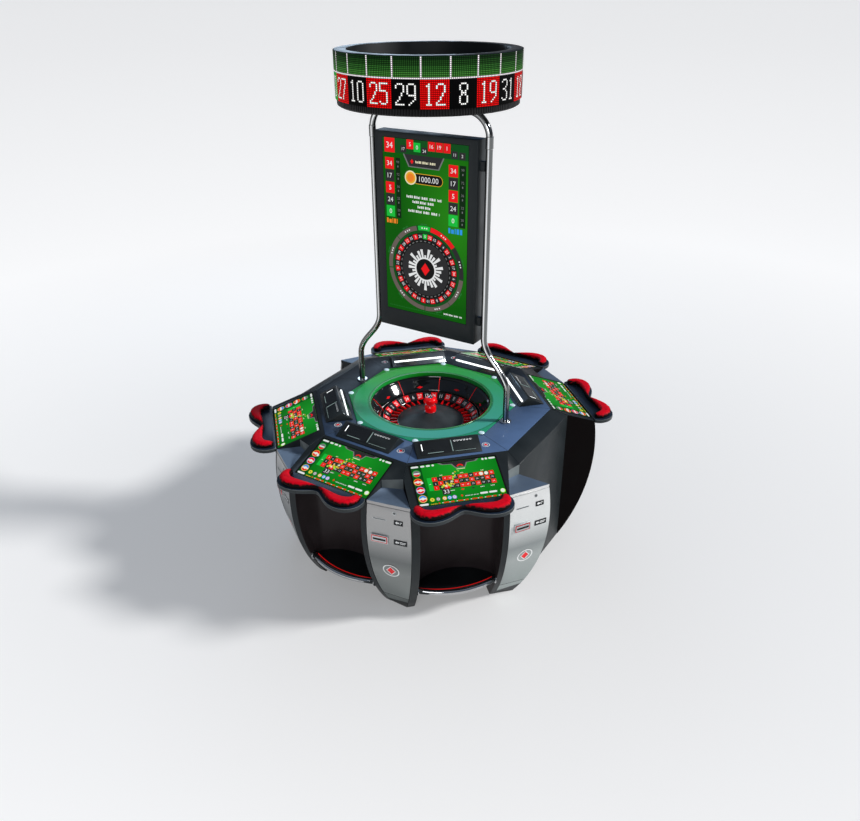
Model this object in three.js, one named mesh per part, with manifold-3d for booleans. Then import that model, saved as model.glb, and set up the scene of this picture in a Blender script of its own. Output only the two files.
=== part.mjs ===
// Electronic roulette table for six players, in millimetres, +Z up.
// The origin is on the floor under the wheel's axis. The table is an octagon: six sides are player
// stations and the two sides on +X and -X are blank and carry the posts of the overhead display.
// A station is drawn once, as the one whose player sits on the -Y side: x is the place along the
// table's side, to the player's right, and n = -y is the distance outwards from the wheel's axis.
import * as THREE from "three";
import { mergeVertices } from "three/addons/utils/BufferGeometryUtils.js";
import Module from "manifold-3d";

const wasm = await Module();
wasm.setup();

const DEG = Math.PI / 180;
const GAP = 0.4; // between pieces that touch
const BITE = 1; // how far joined pieces reach into each other
const ROUND = 48; // sides of the large round pieces
const TUBE_SIDES = 10;
const TUCK = 2; // how far a station's panels reach into its fins

// Octagonal body
const HALF_SIDE_ANGLE = 22.5 * DEG;
const SIDE_ANGLE = 45 * DEG;
const DECK_TOP = 920;
const DECK_THICK = 20;
const DECK_CORNER = 728; // corner radius of the flat deck
const BODY_CORNER = 832; // corner radius below the sloping edge
const SLOPE = 20 * DEG;
const DECK_EDGE = DECK_CORNER * Math.cos(HALF_SIDE_ANGLE);
const BODY_EDGE = BODY_CORNER * Math.cos(HALF_SIDE_ANGLE);
const BODY_HALF = BODY_CORNER * Math.sin(HALF_SIDE_ANGLE);
const INNER = DECK_EDGE + 0.6; // where everything outside the carcass starts
const WALL = 20;

// Carcass inside the octagon
const BASE_THICK = 25;
const SUBDECK_TOP = 884;
const SUBDECK_THICK = 14;
const SUBDECK_HOLE = 400;

// Wheel
const SURROUND_CORNER = 515;
const SURROUND_TOP = 923;
const SURROUND_THICK = 24;
const OPENING = 365;
const BOWL_FLANGE = 440;
const BOWL_FLOOR = 757;
const BOWL_UNDER = 747;
const ROTOR_RADIUS = 293;
const SPINDLE = 12;
const SPINDLE_FOOT = 624;
const ROTOR_HUB_TOP = 838;
const BALL_RADIUS = 10.5;
const BALL_TRACK = 343;
const BALL_HEIGHT = 894.6;
const BALL_PLACE = -57 * DEG;

// Wheel drive
const BEARING = { bore: SPINDLE + 0.8, barrel: 34, flange: 80, plate: 10, armFrom: 30, foot: 8 };
const MOTOR_X = 170;
const MOTOR_RADIUS = 45;
const MOTOR_LIFT = 10; // from the pulley's top to the motor
const HUB_RADIUS = 8;
const DRIVEN_RADIUS = 60;
const DRIVER_RADIUS = 20;
const PULLEY_LOW = 630;
const PULLEY_HIGH = 652;
const BELT_THICK = 3;
const BELT_GAP = 0.5;
const BELT_INSET = 3; // from the pulley's faces

// Station
const LEFT = -BODY_HALF + 0.3;
const LEFT_FIN = 45;
const RIGHT = 210;
const RIGHT_FIN = 33;
const FIN_ARC = 1082; // the fins' front edges and the doors follow one arc
const FIN_ARC_N = -115;
const FIN_ARC_Z = 622;
const HOUSING_FRONT = 948;
const HOUSING_THICK = 46;
const FASCIA_LOW = 775;
const FASCIA_THICK = 13;
const SCREEN = { wide: 478, long: 269, thick: 4.6, pocket: 5, x: -35, inner: 693 };
const KNEE_X = (LEFT + LEFT_FIN + RIGHT - RIGHT_FIN) / 2;
const KNEE_HALF = (RIGHT - RIGHT_FIN - LEFT - LEFT_FIN) / 2;
const KNEE_DEEP = 700; // n of the leg panel's deepest line
const KNEE_SIDE = 800; // n where it meets the fins
const LEG_PANEL_THICK = 12;
const LEG_PANEL_SINK = 10; // into the foot shelf
const LEG_PANEL_RISE = 4; // into the screen housing
const SHELF_LOW = 165;
const SHELF_HIGH = 185;
const SHELF_SIDE = 845;
const SHELF_MID = 890;
const SHELF_LAP = 4; // under the leg panel
const RAIL = { radius: 15, z: 195, side: 858, mid: 915, tuck: 8 };

// Cash module between two stations
const MODULE_TOP = 822;
const MODULE_PLATE = 19;
const MODULE_PLATE_BACK = 800;
const MODULE_FLOOR = 119;
const MODULE_BACK = 782; // distance from the axis, along the corner's direction
const MODULE_WALL = 7;
const MODULE_BACK_WALL = 8;
const MODULE_TUCK = 6; // how far the module's walls reach into the fin
const MODULE_LAP = 4; // and into its own side wall
const WALL_FOOT = BODY_EDGE - 8;
const KICK_SETBACK = 1.5;
const CASH_UNIT = { left: -92, right: -32, far: 900, low: 430, high: 760 };
const DOOR_THICK = 15;
const DOOR_CLEAR = 5;
const DOOR_LOW = 122;
const DOOR_HIGH = 802;
const DOOR_LEFT = 213;
const DOOR_RIGHT = -321.5; // in the next side's frame
const NEXT_WALL = -319;

// Armrest and console
const ARM_X = -57;
const TRAY_TOP = 827;
const TRAY_THICK = 22;
const PAD_THICK = 33;
const CONSOLE = { left: -218, right: 143, inner: 494, ridge: 550, outer: 652, high: 52 };

// Posts, display and sign
const TUBE = 18;
const FOOT_X = 515;
const POST_X = 357.5;
const BEND_LOW = 1107;
const BEND_HIGH = 1407;
const POST_TOP = 2460;
const ARCH_BEND = 129;
const ARCH_FOOT = 12; // straight length at each end of the arch
const ROUND_PULL = 0.5523; // handle length of a Bezier quarter circle of radius 1
const DISPLAY = { half: 315, deep: 44, low: 1375, high: 2474 };
const BRACKET = { inset: 130, deep: 12, tall: 25, gap: 0.6 };
const PANEL = { half: 265, low: 1485, high: 2445, thick: 4, pocket: 4.5 };
const SIGN = { low: 2620, high: 2878, band: 465, seat: 451.5, inner: 405, bandLow: 2655, bandHigh: 2868 };

// Solids ---------------------------------------------------------------------------------------

function solid(geometry) {
  const bare = geometry.index ? geometry.toNonIndexed() : geometry.clone();
  bare.deleteAttribute("normal");
  bare.deleteAttribute("uv");
  const merged = mergeVertices(bare, 1e-3);
  const vertProperties = new Float32Array(merged.attributes.position.array);
  const triVerts = new Uint32Array(merged.index.array);
  return new wasm.Manifold(new wasm.Mesh({ numProp: 3, vertProperties, triVerts }));
}

function geometryOf(made) {
  const mesh = made.getMesh();
  const geometry = new THREE.BufferGeometry();
  const position = new Float32Array(mesh.vertProperties);
  geometry.setAttribute("position", new THREE.BufferAttribute(position, 3));
  geometry.setIndex(new THREE.BufferAttribute(new Uint32Array(mesh.triVerts), 1));
  geometry.computeVertexNormals();
  return geometry;
}

function joined(solids) {
  return solids.reduce((whole, next) => whole.add(next));
}

function turned(geometry, angle) {
  return geometry.rotateZ(angle);
}

function box(x0, x1, y0, y1, z0, z1) {
  const geometry = new THREE.BoxGeometry(x1 - x0, y1 - y0, z1 - z0);
  return geometry.translate((x0 + x1) / 2, (y0 + y1) / 2, (z0 + z1) / 2);
}

function outline(points) {
  return new THREE.Shape(points.map(([x, y]) => new THREE.Vector2(x, y)));
}

// A plan shape, drawn in x and y, raised from z0 to z1.
function raised(shape, z0, z1, curveSegments = 8) {
  const options = { depth: z1 - z0, bevelEnabled: false, curveSegments };
  return new THREE.ExtrudeGeometry(shape, options).translate(0, 0, z0);
}

// A side view, drawn in n and z, carried along x from x0 to x1.
function alongSide(shape, x0, x1, curveSegments = 14) {
  const options = { depth: x1 - x0, bevelEnabled: false, curveSegments };
  const geometry = new THREE.ExtrudeGeometry(shape, options);
  const n = new THREE.Vector3(0, -1, 0);
  const z = new THREE.Vector3(0, 0, 1);
  const backwards = new THREE.Vector3(-1, 0, 0);
  geometry.applyMatrix4(new THREE.Matrix4().makeBasis(n, z, backwards));
  return geometry.translate(x1, 0, 0);
}

// A profile of [radius, z] points turned round the Z axis. A profile that leaves the axis is closed.
function lathe(profile, sides = ROUND) {
  const points = profile.map(([r, z]) => new THREE.Vector2(r, z));
  if (profile[0][0] > 0) points.push(points[0].clone());
  return new THREE.LatheGeometry(points, sides).rotateX(Math.PI / 2);
}

function octagon(corner) {
  const corners = [];
  for (let side = 0; side < 8; side += 1) {
    const angle = side * SIDE_ANGLE + HALF_SIDE_ANGLE;
    corners.push([corner * Math.cos(angle), corner * Math.sin(angle)]);
  }
  return outline(corners);
}

function circleHole(radius, sides = ROUND) {
  const hole = new THREE.Path();
  for (let i = 0; i <= sides; i += 1) {
    const angle = (i / sides) * 2 * Math.PI;
    const x = radius * Math.cos(angle);
    const y = radius * Math.sin(angle);
    if (i === 0) hole.moveTo(x, y);
    else hole.lineTo(x, y);
  }
  return hole;
}

function tube(path, radius, steps) {
  const section = new THREE.Shape();
  for (let i = 0; i < TUBE_SIDES; i += 1) {
    const angle = (i / TUBE_SIDES) * 2 * Math.PI;
    const x = radius * Math.cos(angle);
    const y = radius * Math.sin(angle);
    if (i === 0) section.moveTo(x, y);
    else section.lineTo(x, y);
  }
  section.closePath();
  return new THREE.ExtrudeGeometry(section, { steps, extrudePath: path, bevelEnabled: false });
}

// A solid through rings of points, lowest ring first, each ring counter-clockwise seen from above.
function skinned(rings) {
  const count = rings[0].length;
  const position = rings.flat().flat();
  const index = [];
  for (let ring = 0; ring + 1 < rings.length; ring += 1) {
    for (let i = 0; i < count; i += 1) {
      const a = ring * count + i;
      const b = ring * count + ((i + 1) % count);
      index.push(a, b, b + count, a, b + count, a + count);
    }
  }
  const last = (rings.length - 1) * count;
  for (let i = 1; i + 1 < count; i += 1) {
    index.push(0, i + 1, i, last, last + i, last + i + 1);
  }
  const geometry = new THREE.BufferGeometry();
  geometry.setAttribute("position", new THREE.Float32BufferAttribute(position, 3));
  return geometry.setIndex(index);
}

// Places ---------------------------------------------------------------------------------------

function slopeZ(n) {
  return DECK_TOP - (n - DECK_EDGE) * Math.tan(SLOPE);
}

function finFront(z) {
  return FIN_ARC_N + Math.sqrt(FIN_ARC ** 2 - (z - FIN_ARC_Z) ** 2);
}

// A point of a side frame that is turned by an angle from the station's own frame.
function fromFrame(along, n, angle) {
  const x = along * Math.cos(angle) + n * Math.sin(angle);
  const y = along * Math.sin(angle) - n * Math.cos(angle);
  return [x, y];
}

// x along the station where a line of the next side's frame crosses the corner's direction.
function cornerFrame(distance, x) {
  return (x - distance * Math.sin(HALF_SIDE_ANGLE)) / Math.cos(HALF_SIDE_ANGLE);
}

// Everything beyond the line from the axis to the station's left (-1) or right (1) corner.
function beyondCorner(side) {
  const x0 = side > 0 ? -0.45 : -700;
  const x1 = side > 0 ? 700 : 0.45;
  return turned(box(x0, x1, -1400, 100, -50, 1100), side * HALF_SIDE_ANGLE);
}

function aboveSlope() {
  const tall = 200;
  const block = box(-700, 700, -700, 200, 0, tall).rotateX(SLOPE);
  return block.translate(0, -DECK_EDGE, DECK_TOP);
}

// Table body -----------------------------------------------------------------------------------

function baseCarcass() {
  const whole = solid(raised(octagon(DECK_CORNER), 0, DECK_TOP - DECK_THICK - GAP));
  const room = DECK_CORNER - WALL / Math.cos(HALF_SIDE_ANGLE);
  const inside = solid(raised(octagon(room), BASE_THICK, SUBDECK_TOP - SUBDECK_THICK));
  const above = solid(raised(octagon(room), SUBDECK_TOP, DECK_TOP));
  const hole = solid(new THREE.CylinderGeometry(SUBDECK_HOLE, SUBDECK_HOLE, 60, ROUND)
    .rotateX(Math.PI / 2).translate(0, 0, SUBDECK_TOP));
  return whole.subtract(inside).subtract(above).subtract(hole);
}

function deckPlate() {
  const shape = octagon(DECK_CORNER);
  const opening = octagon(SURROUND_CORNER + 1.5).getPoints();
  shape.holes.push(new THREE.Path(opening));
  return raised(shape, DECK_TOP - DECK_THICK, DECK_TOP);
}

function wheelSurround() {
  const shape = octagon(SURROUND_CORNER);
  shape.holes.push(circleHole(OPENING));
  return raised(shape, SURROUND_TOP - SURROUND_THICK, SURROUND_TOP);
}

function blankSidePanel() {
  const shape = outline([
    [BODY_EDGE - WALL, 0],
    [BODY_EDGE, 0],
    [BODY_EDGE, slopeZ(BODY_EDGE)],
    [INNER, slopeZ(INNER)],
    [INNER, slopeZ(INNER) - 36],
    [BODY_EDGE - WALL, slopeZ(BODY_EDGE) - 26],
  ]);
  const panel = solid(alongSide(shape, -BODY_HALF, BODY_HALF));
  return panel.subtract(solid(beyondCorner(-1))).subtract(solid(beyondCorner(1)));
}

// Wheel ----------------------------------------------------------------------------------------

function wheelBowl() {
  const top = SURROUND_TOP - SURROUND_THICK - GAP;
  return lathe([
    [BOWL_FLANGE, SUBDECK_TOP + GAP],
    [BOWL_FLANGE, top],
    [OPENING, top],
    [OPENING - 3, 890],
    [350, 884],
    [338, 868],
    [299, 822],
    [299, BOWL_FLOOR],
    [24, BOWL_FLOOR],
    [24, BOWL_UNDER],
    [309, BOWL_UNDER],
    [309, 814],
    [352, 864],
    [372, SUBDECK_TOP + GAP],
  ]);
}

function wheelRotor() {
  const bore = SPINDLE + GAP;
  return lathe([
    [bore, 763],
    [250, 763],
    [ROTOR_RADIUS, 792],
    [ROTOR_RADIUS, 812],
    [291, 817],
    [250, 788],
    [250, 771],
    [205, 771],
    [205, 776],
    [36, ROTOR_HUB_TOP],
    [bore, ROTOR_HUB_TOP],
  ]);
}

function wheelTurret() {
  const foot = ROTOR_HUB_TOP + 0.6;
  return lathe([
    [0, foot],
    [33, foot],
    [35, 846],
    [35, 872],
    [27, 887],
    [29, 896],
    [38, 908],
    [38, 926],
    [24, 934],
    [14, 936],
    [15, 944],
    [8, 953],
    [0, 955],
  ], 24);
}

function ring(inner, outer, z0, z1, sides = 24) {
  return lathe([[inner, z0], [outer, z0], [outer, z1], [inner, z1]], sides);
}

function post(radius, z0, z1, x, sides = 24) {
  const geometry = new THREE.CylinderGeometry(radius, radius, z1 - z0, sides);
  return geometry.rotateX(Math.PI / 2).translate(x, 0, (z0 + z1) / 2);
}

function bearingHousing() {
  const { bore, barrel, flange, plate, armFrom, foot } = BEARING;
  const top = BOWL_UNDER - GAP;
  const far = MOTOR_X + MOTOR_RADIUS;
  const arm = box(armFrom, far, -MOTOR_RADIUS, MOTOR_RADIUS, top - plate, top);
  const pieces = [
    ring(bore, barrel, PULLEY_HIGH + foot, top),
    ring(bore, flange, top - plate, top),
    arm,
  ];
  return joined(pieces.map(solid));
}

function driveMotor() {
  const top = BOWL_UNDER - GAP - BEARING.plate - GAP;
  return post(MOTOR_RADIUS, PULLEY_HIGH + MOTOR_LIFT, top, MOTOR_X);
}

function motorPulley() {
  const wheel = solid(post(DRIVER_RADIUS, PULLEY_LOW, PULLEY_HIGH, MOTOR_X));
  const hubTop = PULLEY_HIGH + MOTOR_LIFT - GAP;
  const hub = solid(post(HUB_RADIUS, PULLEY_HIGH - BITE, hubTop, MOTOR_X, 12));
  return wheel.add(hub);
}

function beltLoop(big, small) {
  const angle = Math.acos((big - small) / MOTOR_X);
  const loop = new THREE.Shape();
  loop.absarc(0, 0, big, angle, 2 * Math.PI - angle, false);
  loop.absarc(MOTOR_X, 0, small, -angle, angle, false);
  loop.closePath();
  return loop;
}

function driveBelt() {
  const inside = BELT_GAP;
  const outside = BELT_GAP + BELT_THICK;
  const shape = beltLoop(DRIVEN_RADIUS + outside, DRIVER_RADIUS + outside);
  const hole = beltLoop(DRIVEN_RADIUS + inside, DRIVER_RADIUS + inside);
  shape.holes.push(new THREE.Path(hole.getPoints(16)));
  return raised(shape, PULLEY_LOW + BELT_INSET, PULLEY_HIGH - BELT_INSET, 16);
}

function wheelBall() {
  const x = BALL_TRACK * Math.cos(BALL_PLACE);
  const y = BALL_TRACK * Math.sin(BALL_PLACE);
  return new THREE.SphereGeometry(BALL_RADIUS, 14, 10).translate(x, y, BALL_HEIGHT);
}

// Station --------------------------------------------------------------------------------------

function finShape() {
  const low = Math.asin(-FIN_ARC_Z / FIN_ARC);
  const high = Math.asin((slopeZ(HOUSING_FRONT) - FIN_ARC_Z) / FIN_ARC);
  const shape = new THREE.Shape();
  shape.moveTo(INNER, 0);
  shape.lineTo(finFront(0), 0);
  shape.absarc(FIN_ARC_N, FIN_ARC_Z, FIN_ARC, low, high, false);
  shape.lineTo(INNER, slopeZ(INNER));
  shape.closePath();
  return shape;
}

function screenHousing() {
  const front = HOUSING_FRONT;
  const back = front - FASCIA_THICK;
  const shape = outline([
    [INNER, slopeZ(INNER) - HOUSING_THICK],
    [back, slopeZ(back) - HOUSING_THICK],
    [back, FASCIA_LOW],
    [front, FASCIA_LOW],
    [front, slopeZ(front)],
    [INNER, slopeZ(INNER)],
  ]);
  return alongSide(shape, LEFT + LEFT_FIN - BITE, RIGHT - RIGHT_FIN + BITE);
}

// A slab lying in the sloping face, centred on the screen's place.
function onSlope(wide, long, low, high) {
  const mid = SCREEN.inner + (SCREEN.long / 2) * Math.cos(SLOPE);
  const slab = box(-wide / 2, wide / 2, -long / 2, long / 2, low, high).rotateX(SLOPE);
  return slab.translate(SCREEN.x, -mid, slopeZ(mid));
}

function legPanel() {
  const drop = KNEE_SIDE - KNEE_DEEP;
  const radius = (KNEE_HALF ** 2 + drop ** 2) / (2 * drop);
  const middle = -KNEE_DEEP - radius;
  const reach = Math.acos((KNEE_HALF + TUCK) / radius);
  const shape = new THREE.Shape();
  shape.absarc(KNEE_X, middle, radius, reach, Math.PI - reach, false);
  shape.absarc(KNEE_X, middle, radius + LEG_PANEL_THICK, Math.PI - reach, reach, true);
  shape.closePath();
  const top = slopeZ(KNEE_DEEP) - HOUSING_THICK + LEG_PANEL_RISE;
  return raised(shape, SHELF_HIGH - LEG_PANEL_SINK, top, 10);
}

function footShelf() {
  const bulge = SHELF_MID - SHELF_SIDE;
  const radius = (KNEE_HALF ** 2 + bulge ** 2) / (2 * bulge);
  const swing = Math.asin((KNEE_HALF + TUCK) / radius);
  const drop = KNEE_SIDE - KNEE_DEEP;
  const hollow = (KNEE_HALF ** 2 + drop ** 2) / (2 * drop);
  const reach = Math.acos((KNEE_HALF + TUCK) / (hollow + SHELF_LAP));
  const shape = new THREE.Shape();
  const down = 1.5 * Math.PI;
  shape.absarc(KNEE_X, radius - SHELF_MID, radius, down - swing, down + swing, false);
  shape.absarc(KNEE_X, -KNEE_DEEP - hollow, hollow + SHELF_LAP, reach, Math.PI - reach, false);
  shape.closePath();
  return raised(shape, SHELF_LOW, SHELF_HIGH, 10);
}

function footRail() {
  const reach = KNEE_HALF + RAIL.tuck;
  const ends = RAIL.side;
  const pull = 2 * RAIL.mid - ends;
  const path = new THREE.QuadraticBezierCurve3(
    new THREE.Vector3(KNEE_X - reach, -ends, RAIL.z),
    new THREE.Vector3(KNEE_X, -pull, RAIL.z),
    new THREE.Vector3(KNEE_X + reach, -ends, RAIL.z),
  );
  return tube(path, RAIL.radius, 14);
}

// Solid block between the right fin and the corner, under the sloping edge.
function moduleHood() {
  const corner = BODY_CORNER - 0.4;
  const x0 = RIGHT - BITE;
  const n0 = (corner - x0 * Math.sin(HALF_SIDE_ANGLE)) / Math.cos(HALF_SIDE_ANGLE);
  const shape = outline([
    [x0, -INNER],
    [x0, -n0],
    [corner * Math.sin(HALF_SIDE_ANGLE) - 0.3, -corner * Math.cos(HALF_SIDE_ANGLE)],
    [INNER * Math.tan(HALF_SIDE_ANGLE) - 0.5, -INNER],
  ]);
  const block = solid(raised(shape, MODULE_TOP - MODULE_PLATE, DECK_TOP + 10));
  return block.subtract(solid(aboveSlope()));
}

function moduleTopPlate() {
  const corner = fromFrame(NEXT_WALL, BODY_EDGE, SIDE_ANGLE);
  const front = fromFrame(NEXT_WALL, HOUSING_FRONT, SIDE_ANGLE);
  const x0 = RIGHT - BITE;
  const shape = outline([[x0, -MODULE_PLATE_BACK], [x0, -HOUSING_FRONT], front, corner]);
  return raised(shape, MODULE_TOP - MODULE_PLATE, MODULE_TOP);
}

function moduleSideWall() {
  const low = Math.asin(-FIN_ARC_Z / FIN_ARC);
  const high = Math.asin((MODULE_TOP - MODULE_PLATE + BITE - FIN_ARC_Z) / FIN_ARC);
  const behind = DOOR_THICK + DOOR_CLEAR;
  const shape = new THREE.Shape();
  shape.moveTo(WALL_FOOT, 0);
  shape.absarc(FIN_ARC_N - behind, FIN_ARC_Z, FIN_ARC, low, high, false);
  shape.lineTo(WALL_FOOT, MODULE_TOP - MODULE_PLATE + BITE);
  shape.closePath();
  return turned(alongSide(shape, NEXT_WALL - MODULE_WALL, NEXT_WALL), SIDE_ANGLE);
}

// A point of the corner's frame: distance outwards along the corner, and across it.
function atCorner(distance, across) {
  return fromFrame(across, distance, HALF_SIDE_ANGLE);
}

function moduleBackWall() {
  const near = MODULE_BACK;
  const far = MODULE_BACK + MODULE_BACK_WALL;
  const left = (distance) => cornerFrame(distance, RIGHT - MODULE_TUCK);
  const right = (distance) => -cornerFrame(distance, -NEXT_WALL + MODULE_LAP);
  const shape = outline([
    atCorner(near, left(near)),
    atCorner(far, left(far)),
    atCorner(far, right(far)),
    atCorner(near, right(near)),
  ]);
  return raised(shape, MODULE_FLOOR - WALL, MODULE_TOP - MODULE_PLATE + BITE);
}

function cashUnit() {
  const { left, right, far, low, high } = CASH_UNIT;
  return turned(box(left, right, -far, -MODULE_BACK - MODULE_LAP, low, high), HALF_SIDE_ANGLE);
}

// Four corners of a slice of the module's front, from its left edge to its right.
function moduleSlice(z, left, right, front, back) {
  const n = finFront(z) - front;
  const inner = finFront(z) - back;
  return [
    [left, -n, z],
    [...fromFrame(right, n, SIDE_ANGLE), z],
    [...fromFrame(right, inner, SIDE_ANGLE), z],
    [left, -inner, z],
  ];
}

function moduleKick() {
  const rings = [];
  const back = MODULE_BACK + TUCK;
  const near = atCorner(back, cornerFrame(back, RIGHT - MODULE_TUCK));
  const far = atCorner(back, -cornerFrame(back, -NEXT_WALL + MODULE_LAP));
  for (let step = 0; step <= 3; step += 1) {
    const z = (MODULE_FLOOR * step) / 3;
    const slice = moduleSlice(z, RIGHT - MODULE_TUCK, NEXT_WALL, KICK_SETBACK, DOOR_THICK);
    rings.push([slice[0], slice[1], [...far, z], [...near, z]]);
  }
  return skinned(rings);
}

function stationFrame() {
  const fin = finShape();
  const left = solid(alongSide(fin, LEFT, LEFT + LEFT_FIN)).subtract(solid(beyondCorner(-1)));
  const right = solid(alongSide(fin, RIGHT - RIGHT_FIN, RIGHT));
  const pocket = solid(onSlope(SCREEN.wide + 2, SCREEN.long + 2, -SCREEN.pocket, 20));
  const pieces = [
    left,
    right,
    solid(screenHousing()),
    solid(legPanel()),
    solid(footShelf()),
    solid(footRail()),
    moduleHood(),
    solid(moduleTopPlate()),
    solid(moduleSideWall()),
    solid(moduleBackWall()),
    solid(cashUnit()),
    solid(moduleKick()),
  ];
  return joined(pieces).subtract(pocket);
}

function stationScreen() {
  return onSlope(SCREEN.wide, SCREEN.long, -SCREEN.pocket + GAP, -SCREEN.pocket + SCREEN.thick);
}

function moduleDoor() {
  const rings = [];
  const steps = 14;
  for (let step = 0; step <= steps; step += 1) {
    const z = DOOR_LOW + ((DOOR_HIGH - DOOR_LOW) * step) / steps;
    rings.push(moduleSlice(z, DOOR_LEFT, DOOR_RIGHT, 0, DOOR_THICK));
  }
  return skinned(rings);
}

// Both halves of an outline that is the same left and right of the armrest's middle.
function mirrored(half) {
  const right = half.map(([x, n]) => [ARM_X + x, -n]);
  const left = half.slice(1).reverse().map(([x, n]) => [ARM_X - x, -n]);
  return outline([...left, ...right]);
}

function curvePoints(pieces) {
  const points = [];
  for (const [a, b, c, d] of pieces) {
    const curve = new THREE.CubicBezierCurve(
      new THREE.Vector2(...a),
      new THREE.Vector2(...b),
      new THREE.Vector2(...c),
      new THREE.Vector2(...d),
    );
    const drawn = curve.getPoints(6).map((point) => [point.x, point.y]);
    points.push(...(points.length ? drawn.slice(1) : drawn));
  }
  return points;
}

function armrestTray() {
  const edge = curvePoints([
    [[0, 1030], [34, 1032], [82, 1096], [165, 1096]],
    [[165, 1096], [232, 1096], [272, 1047], [272, 1000]],
    [[272, 1000], [272, 978], [268, 965], [258, 951.5]],
  ]);
  return raised(mirrored(edge), TRAY_TOP - TRAY_THICK, TRAY_TOP);
}

function armrestPad() {
  const outer = curvePoints([
    [[0, 1023], [38, 1025], [86, 1087], [165, 1087]],
    [[165, 1087], [227, 1087], [262, 1042], [262, 1000]],
    [[262, 1000], [262, 975], [250, 960], [232, 960]],
    [[232, 960], [215, 960], [214, 972], [210, 984]],
    [[210, 984], [203, 1003], [180, 1012], [140, 1013]],
    [[140, 1013], [90, 1014], [50, 1008], [0, 1008]],
  ]);
  const right = outer.map(([x, n]) => [ARM_X + x, -n]);
  const left = outer.slice(1, -1).reverse().map(([x, n]) => [ARM_X - x, -n]);
  return raised(outline([...right, ...left]), TRAY_TOP + GAP, TRAY_TOP + GAP + PAD_THICK);
}

function playerConsole() {
  const foot = DECK_TOP + GAP;
  const shape = outline([
    [CONSOLE.inner, foot],
    [CONSOLE.outer, foot],
    [CONSOLE.outer, foot + 4],
    [CONSOLE.ridge + 6, foot + CONSOLE.high],
    [CONSOLE.ridge, foot + CONSOLE.high],
  ]);
  return alongSide(shape, CONSOLE.left, CONSOLE.right);
}

// Posts, display and sign ----------------------------------------------------------------------

function sidePost(side) {
  const foot = DECK_TOP + GAP;
  const path = new THREE.CurvePath();
  const point = (x, z) => new THREE.Vector3(side * x, 0, z);
  const pull = 120;
  path.add(new THREE.LineCurve3(point(FOOT_X, foot), point(FOOT_X, BEND_LOW)));
  path.add(new THREE.CubicBezierCurve3(
    point(FOOT_X, BEND_LOW),
    point(FOOT_X, BEND_LOW + pull),
    point(POST_X, BEND_HIGH - pull),
    point(POST_X, BEND_HIGH),
  ));
  path.add(new THREE.LineCurve3(point(POST_X, BEND_HIGH), point(POST_X, POST_TOP)));
  return tube(path, TUBE, 34);
}

function topArch() {
  const path = new THREE.CurvePath();
  const point = (x, z) => new THREE.Vector3(x, 0, z);
  const start = POST_TOP + GAP;
  const high = start + ARCH_FOOT + ARCH_BEND;
  const reach = POST_X - ARCH_BEND;
  const pull = ROUND_PULL * ARCH_BEND;
  path.add(new THREE.LineCurve3(point(-POST_X, start), point(-POST_X, start + ARCH_FOOT)));
  path.add(new THREE.CubicBezierCurve3(
    point(-POST_X, start + ARCH_FOOT),
    point(-POST_X, start + ARCH_FOOT + pull),
    point(-reach - pull, high),
    point(-reach, high),
  ));
  path.add(new THREE.LineCurve3(point(-reach, high), point(reach, high)));
  path.add(new THREE.CubicBezierCurve3(
    point(reach, high),
    point(reach + pull, high),
    point(POST_X, start + ARCH_FOOT + pull),
    point(POST_X, start + ARCH_FOOT),
  ));
  path.add(new THREE.LineCurve3(point(POST_X, start + ARCH_FOOT), point(POST_X, start)));
  return tube(path, TUBE, 28);
}

function displayHousing() {
  const { half, deep, low, high } = DISPLAY;
  const whole = solid(box(-half, half, -deep, deep, low, high));
  const room = PANEL.half + 1;
  const front = solid(box(-room, room, -deep - 5, -deep + PANEL.pocket, PANEL.low - 1, PANEL.high + 1));
  const back = solid(box(-room, room, deep - PANEL.pocket, deep + 5, PANEL.low - 1, PANEL.high + 1));
  const pieces = [whole];
  for (const z of [low + BRACKET.inset, high - BRACKET.inset]) {
    for (const side of [-1, 1]) {
      const reach = POST_X - TUBE - half - BRACKET.gap;
      const { deep: armDeep, tall } = BRACKET;
      const arm = box(-armDeep, reach, -armDeep, armDeep, z - tall, z + tall);
      if (side > 0) arm.translate(half, 0, 0);
      else arm.rotateZ(Math.PI).translate(-half, 0, 0);
      pieces.push(solid(arm));
    }
  }
  return joined(pieces).subtract(front).subtract(back);
}

function displayScreen(side) {
  const far = DISPLAY.deep - PANEL.pocket + GAP;
  const near = far + PANEL.thick - GAP;
  const panel = box(-PANEL.half, PANEL.half, far, near, PANEL.low, PANEL.high);
  return side > 0 ? panel : panel.rotateZ(Math.PI);
}

function signDrum() {
  return lathe([
    [0, SIGN.low],
    [448, SIGN.low],
    [461, SIGN.low + 8],
    [461, SIGN.bandLow - GAP],
    [SIGN.seat, SIGN.bandLow - GAP],
    [SIGN.seat, SIGN.bandHigh + GAP],
    [SIGN.band + 2, SIGN.bandHigh + GAP],
    [SIGN.band + 2, SIGN.high - 3],
    [SIGN.band - 1, SIGN.high],
    [SIGN.inner, SIGN.high],
    [SIGN.inner, SIGN.low + 12],
    [0, SIGN.low + 12],
  ]);
}

function signBand() {
  return ring(SIGN.seat + GAP, SIGN.band, SIGN.bandLow, SIGN.bandHigh, ROUND);
}

// Assembly -------------------------------------------------------------------------------------

function material(color, roughness, metalness) {
  return new THREE.MeshStandardMaterial({ color, roughness, metalness });
}

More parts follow.
